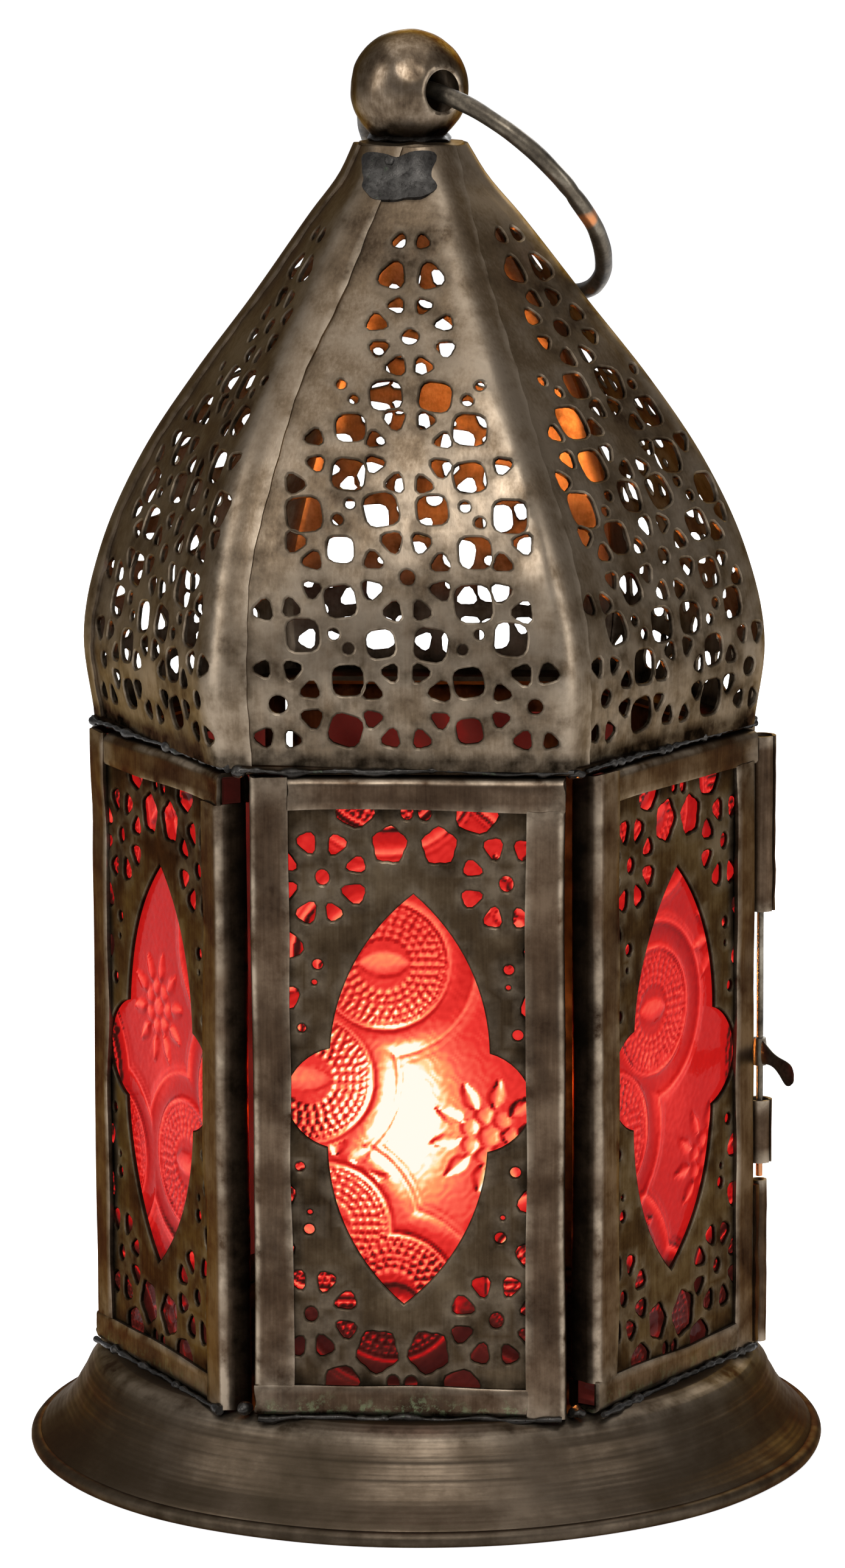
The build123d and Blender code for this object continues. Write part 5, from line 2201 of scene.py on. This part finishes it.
@dataclass
class SolderWork:
    """Seams, smears and lumps of solder that hold the sheet metal together."""

    plan: Plan
    dome: OnionDome
    geared_corners: tuple = (90, 150)

    def seam(self, half: float, apothem: float, z: float, size: float, seed: int) -> Shape:
        """Uneven bead along one side.

        Args:
            half: half its length.
            apothem: distance from the lantern's centre.
            z: height.
            size: mean radius.
            seed: number that fixes its lumps.

        Returns:
            The bead in front of the lantern.
        """
        along = np.linspace(-half, half, 110)
        path = np.column_stack([along, np.full(110, -apothem), np.full(110, z)])
        lumps = np.abs(Waves(4.0, seed).at(path)) * 0.5 + 0.4 + 0.5 * np.clip(Waves(2.2, seed + 1).at(path) - 0.5, 0, 1)
        path[:, 2] += 0.15 * Waves(8, seed + 2).at(path)
        return sweep(path, lambda t: round_section(size * float(lumps[round(t * 109)]), 10))

    def patch(self, u: float, s: float, wide: float, tall: float, azimuth: float, seed: int) -> Shape:
        """Smear of solder lying on a gore.

        Args:
            u: its middle across the gore.
            s: its middle along the gore.
            wide: half its width.
            tall: half its height.
            azimuth: side of the lantern.
            seed: number that fixes its outline.

        Returns:
            The smear in place.
        """
        rings, around = 11, 54
        turns = np.linspace(0, 2 * pi, around, endpoint=False)
        rng = np.random.default_rng(seed)
        edge = 1 + sum(rng.normal(0, 0.30 / k) * np.cos(k * turns + rng.uniform(0, 6.3)) for k in (2, 3, 4, 5, 7, 11))
        u += float(self.dome.centre_line(np.array(s)))
        rows = []
        for ring in range(rings):
            share = (ring + 0.5) / (rings - 0.5) if ring else 0.02
            reach = share * edge
            rows.append(np.column_stack([u + wide * reach * np.cos(turns), s + tall * reach * np.sin(turns)]))
        flat = np.vstack(rows)
        share = np.repeat(np.arange(rings) / (rings - 1), around)
        lift = 0.78 + 0.25 * np.sqrt(np.clip(1 - share**3, 0, 1)) - 1.2 * (share > 0.999)
        lift += 0.07 * Waves(3.2, seed + 1).at(np.column_stack([flat, 0 * share]))
        points = self.dome.bent(flat[:, 0], np.clip(flat[:, 1], 0, self.dome.length), lift - 0.35)
        faces = rows_joined(rings, around, False, True)
        faces.append(tuple(reversed(range(around))))
        rim = flat[-around:]
        under = self.dome.bent(rim[:, 0], np.clip(rim[:, 1], 0, self.dome.length), np.full(around, -0.5))
        start = len(points)
        for k in range(around):
            n = (k + 1) % around
            base = start - around
            faces.append((base + k, base + n, start + n, start + k))
        faces.append(tuple(range(start, start + around)))
        return self.dome.settled(Shape(np.vstack([points, under]), faces).turned(azimuth))

    def lump(self, place: tuple[float, float, float], size: tuple[float, float, float], seed: int) -> Shape:
        """Frozen drop of solder.

        Args:
            place: its middle.
            size: its half-sizes along x, y and z.
            seed: number that fixes its dents.

        Returns:
            The drop in place.
        """
        turns = [radians(-90 + 180 * k / 14) for k in range(15)]
        profile = [(max(cos(t), 0) if 0 < k < 14 else 0, sin(t)) for k, t in enumerate(turns)]
        drop = lathe(profile, 22)
        drop.points *= (1 + 0.16 * Waves(1.6, seed).at(drop.points))[:, None] * np.array(size)
        return drop.moved(*place)

    def build(self) -> None:
        """Make the seams at the foot and the eave, the lumps at the corners and the smears on the dome."""
        plan = self.plan
        foot, eave = [], []
        for side in Side:
            if side is not Side.DOOR:
                bead = self.seam(plan.panel_half - 0.5, plan.apothem + 0.25, plan.floor + 0.15, 0.62, side.value + 300)
                foot.append(bead.turned(side.value))
            bead = self.seam(plan.panel_half + 1.2, plan.apothem - 1.2, plan.panel_top + 0.75, 0.55, side.value + 320)
            eave.append(bead.turned(side.value))
        Shape.joined(foot).as_piece("foot_solder_seams", SOLDER, Slot.SOLDER, "root")
        Shape.joined(eave).as_piece("eave_solder_seams", SOLDER, Slot.SOLDER, "root")
        corners = []
        for k, side in enumerate(Side):
            corner = plan.apothem / cos(HALF_SIDE) - 2.6
            azimuth = side.value + 30
            if azimuth in self.geared_corners:
                continue
            for z, size in ((plan.floor + 0.6, (1.1, 1.3, 0.9)), (plan.panel_top + 0.4, (1.2, 1.0, 0.8))):
                corners.append(self.lump((0.3 * (k % 3 - 1), -corner, z), size, 340 + k).turned(azimuth))
        Shape.joined(corners).as_piece("corner_solder_lumps", SOLDER, Slot.SOLDER, "root")
        top = self.dome.length
        smears = [
            self.patch(-1.6, top - 4.4, 6.2, 4.3, 0, 361),
            self.patch(-2.6, top - 2.0, 0.75, 0.75, 0, 364),
            self.patch(4.2, top - 3.2, 3.4, 3.4, 120, 362),
            self.patch(-3.8, top - 4.0, 3.6, 4.2, 240, 363),
        ]
        smears[1].points += np.array([0, -0.32, 0.05])
        Shape.joined(smears).as_piece("dome_solder_smears", SOLDER, Slot.SOLDER, "root")


# Studio.


@dataclass
class Studio:
    """Pale floor, soft lights and the camera."""

    azimuth: float = 3.031
    elevation: float = 10.398
    lens: float = 144.73
    place: tuple = (0.04684, -0.88640, 0.25890)
    roll: float = -0.276

    def softbox(self, name: str, place: tuple, target: tuple, size: tuple, power: float) -> None:
        """Hang a soft rectangular light.

        Args:
            name: name of the light.
            place: where it hangs.
            target: what it points at.
            size: its width and height.
            power: its power in watts.
        """
        light = bpy.data.lights.new(name, "AREA")
        light.shape = "RECTANGLE"
        light.size, light.size_y = size
        light.energy = power
        lamp = bpy.data.objects.new(name, light)
        lamp.location = place
        lamp.rotation_euler = (Vector(target) - Vector(place)).to_track_quat("-Z", "Y").to_euler()
        bpy.context.scene.collection.objects.link(lamp)

    def candle_light(self, name: str, height: float, power: float, colour: Colour) -> None:
        """Put a small warm light inside the lantern.

        Args:
            name: name of the light.
            height: its height in millimetres.
            power: its power in watts.
            colour: its colour.
        """
        light = bpy.data.lights.new(name, "POINT")
        light.energy = power
        light.color = colour
        light.shadow_soft_size = 0.006
        lamp = bpy.data.objects.new(name, light)
        lamp.location = (0, 0, height * MM)
        bpy.context.scene.collection.objects.link(lamp)

    def world(self) -> None:
        """White surroundings for the view and a softer grey room for the reflections."""
        world = bpy.data.worlds.new("studio")
        bpy.context.scene.world = world
        world.use_nodes = True
        tree = world.node_tree
        tree.nodes.clear()
        output = tree.nodes.new("ShaderNodeOutputWorld")
        mix = tree.nodes.new("ShaderNodeMixShader")
        path = tree.nodes.new("ShaderNodeLightPath")
        room, backdrop = (tree.nodes.new("ShaderNodeBackground") for _ in range(2))
        room.inputs["Color"].default_value = (0.33, 0.33, 0.34, 1)
        backdrop.inputs["Color"].default_value = (1, 1, 1, 1)
        backdrop.inputs["Strength"].default_value = 1.0
        tree.links.new(path.outputs["Is Camera Ray"], mix.inputs[0])
        tree.links.new(room.outputs[0], mix.inputs[1])
        tree.links.new(backdrop.outputs[0], mix.inputs[2])
        tree.links.new(mix.outputs[0], output.inputs[0])

    def floor(self) -> None:
        """Lay the pale floor."""
        mesh = bpy.data.meshes.new("studio_floor")
        reach = 4.0
        corners = [(x * reach, y * reach, 0) for x, y in ((-1, -1), (1, -1), (1, 1), (-1, 1))]
        mesh.from_pydata(corners, [], [(0, 1, 2, 3)])
        mesh.materials.append(PAPER.dressed())
        floor = bpy.data.objects.new("studio_floor", mesh)
        floor.location.z = -0.00005
        bpy.context.scene.collection.objects.link(floor)

    def camera(self) -> None:
        """Set up the camera."""
        data = bpy.data.cameras.new("camera")
        data.lens = self.lens
        data.sensor_width = 36
        data.clip_start = 0.05
        camera = bpy.data.objects.new("camera", data)
        turn, tilt = radians(self.azimuth), radians(self.elevation)
        back = Vector((sin(turn) * cos(tilt), -cos(turn) * cos(tilt), sin(tilt)))
        camera.location = self.place
        camera.rotation_mode = "QUATERNION"
        roll = Quaternion((0, 0, 1), radians(self.roll))
        camera.rotation_quaternion = (-back).to_track_quat("-Z", "Y") @ roll
        bpy.context.scene.collection.objects.link(camera)
        bpy.context.scene.camera = camera

    def build(self) -> None:
        """Set up the whole studio."""
        bpy.context.scene.view_settings.view_transform = "Standard"
        self.world()
        self.floor()
        self.camera()
        middle = (0, 0, 0.10)
        self.softbox("key", (0.02, -0.85, 0.88), middle, (0.55, 0.45), 7.0)
        self.softbox("fill_left", (-0.75, -0.40, 0.45), middle, (0.3, 0.7), 3.4)
        self.softbox("fill_right", (0.85, -0.45, 0.35), middle, (0.3, 0.7), 2.6)
        self.softbox("top", (0.0, 0.1, 1.0), middle, (0.9, 0.9), 5.0)
        self.softbox("rear", (0.2, 0.9, 0.6), middle, (0.8, 0.6), 5.0)
        self.candle_light("flame_light", 50, 0.38, (1.0, 0.30, 0.06))


def main() -> None:
    """Build the lantern and its studio, piece by piece."""
    logging.basicConfig(level=logging.INFO, format="%(name)s: %(message)s")
    plan = Plan.read()
    log.info("floor %.1f mm, eave %.1f mm, dome top %.1f mm", plan.floor, plan.eave_top, plan.dome_top)
    Studio().build()
    SpunFoot(plan).build()
    Candle().build()
    for side in Side:
        GlazedPanel(plan, side).build()
    dome = OnionDome(plan)
    dome.build()
    BallAndRing(plan).build()
    DoorGear(plan).build()
    SolderWork(plan, dome).build()


if __name__ == "__main__":
    main()
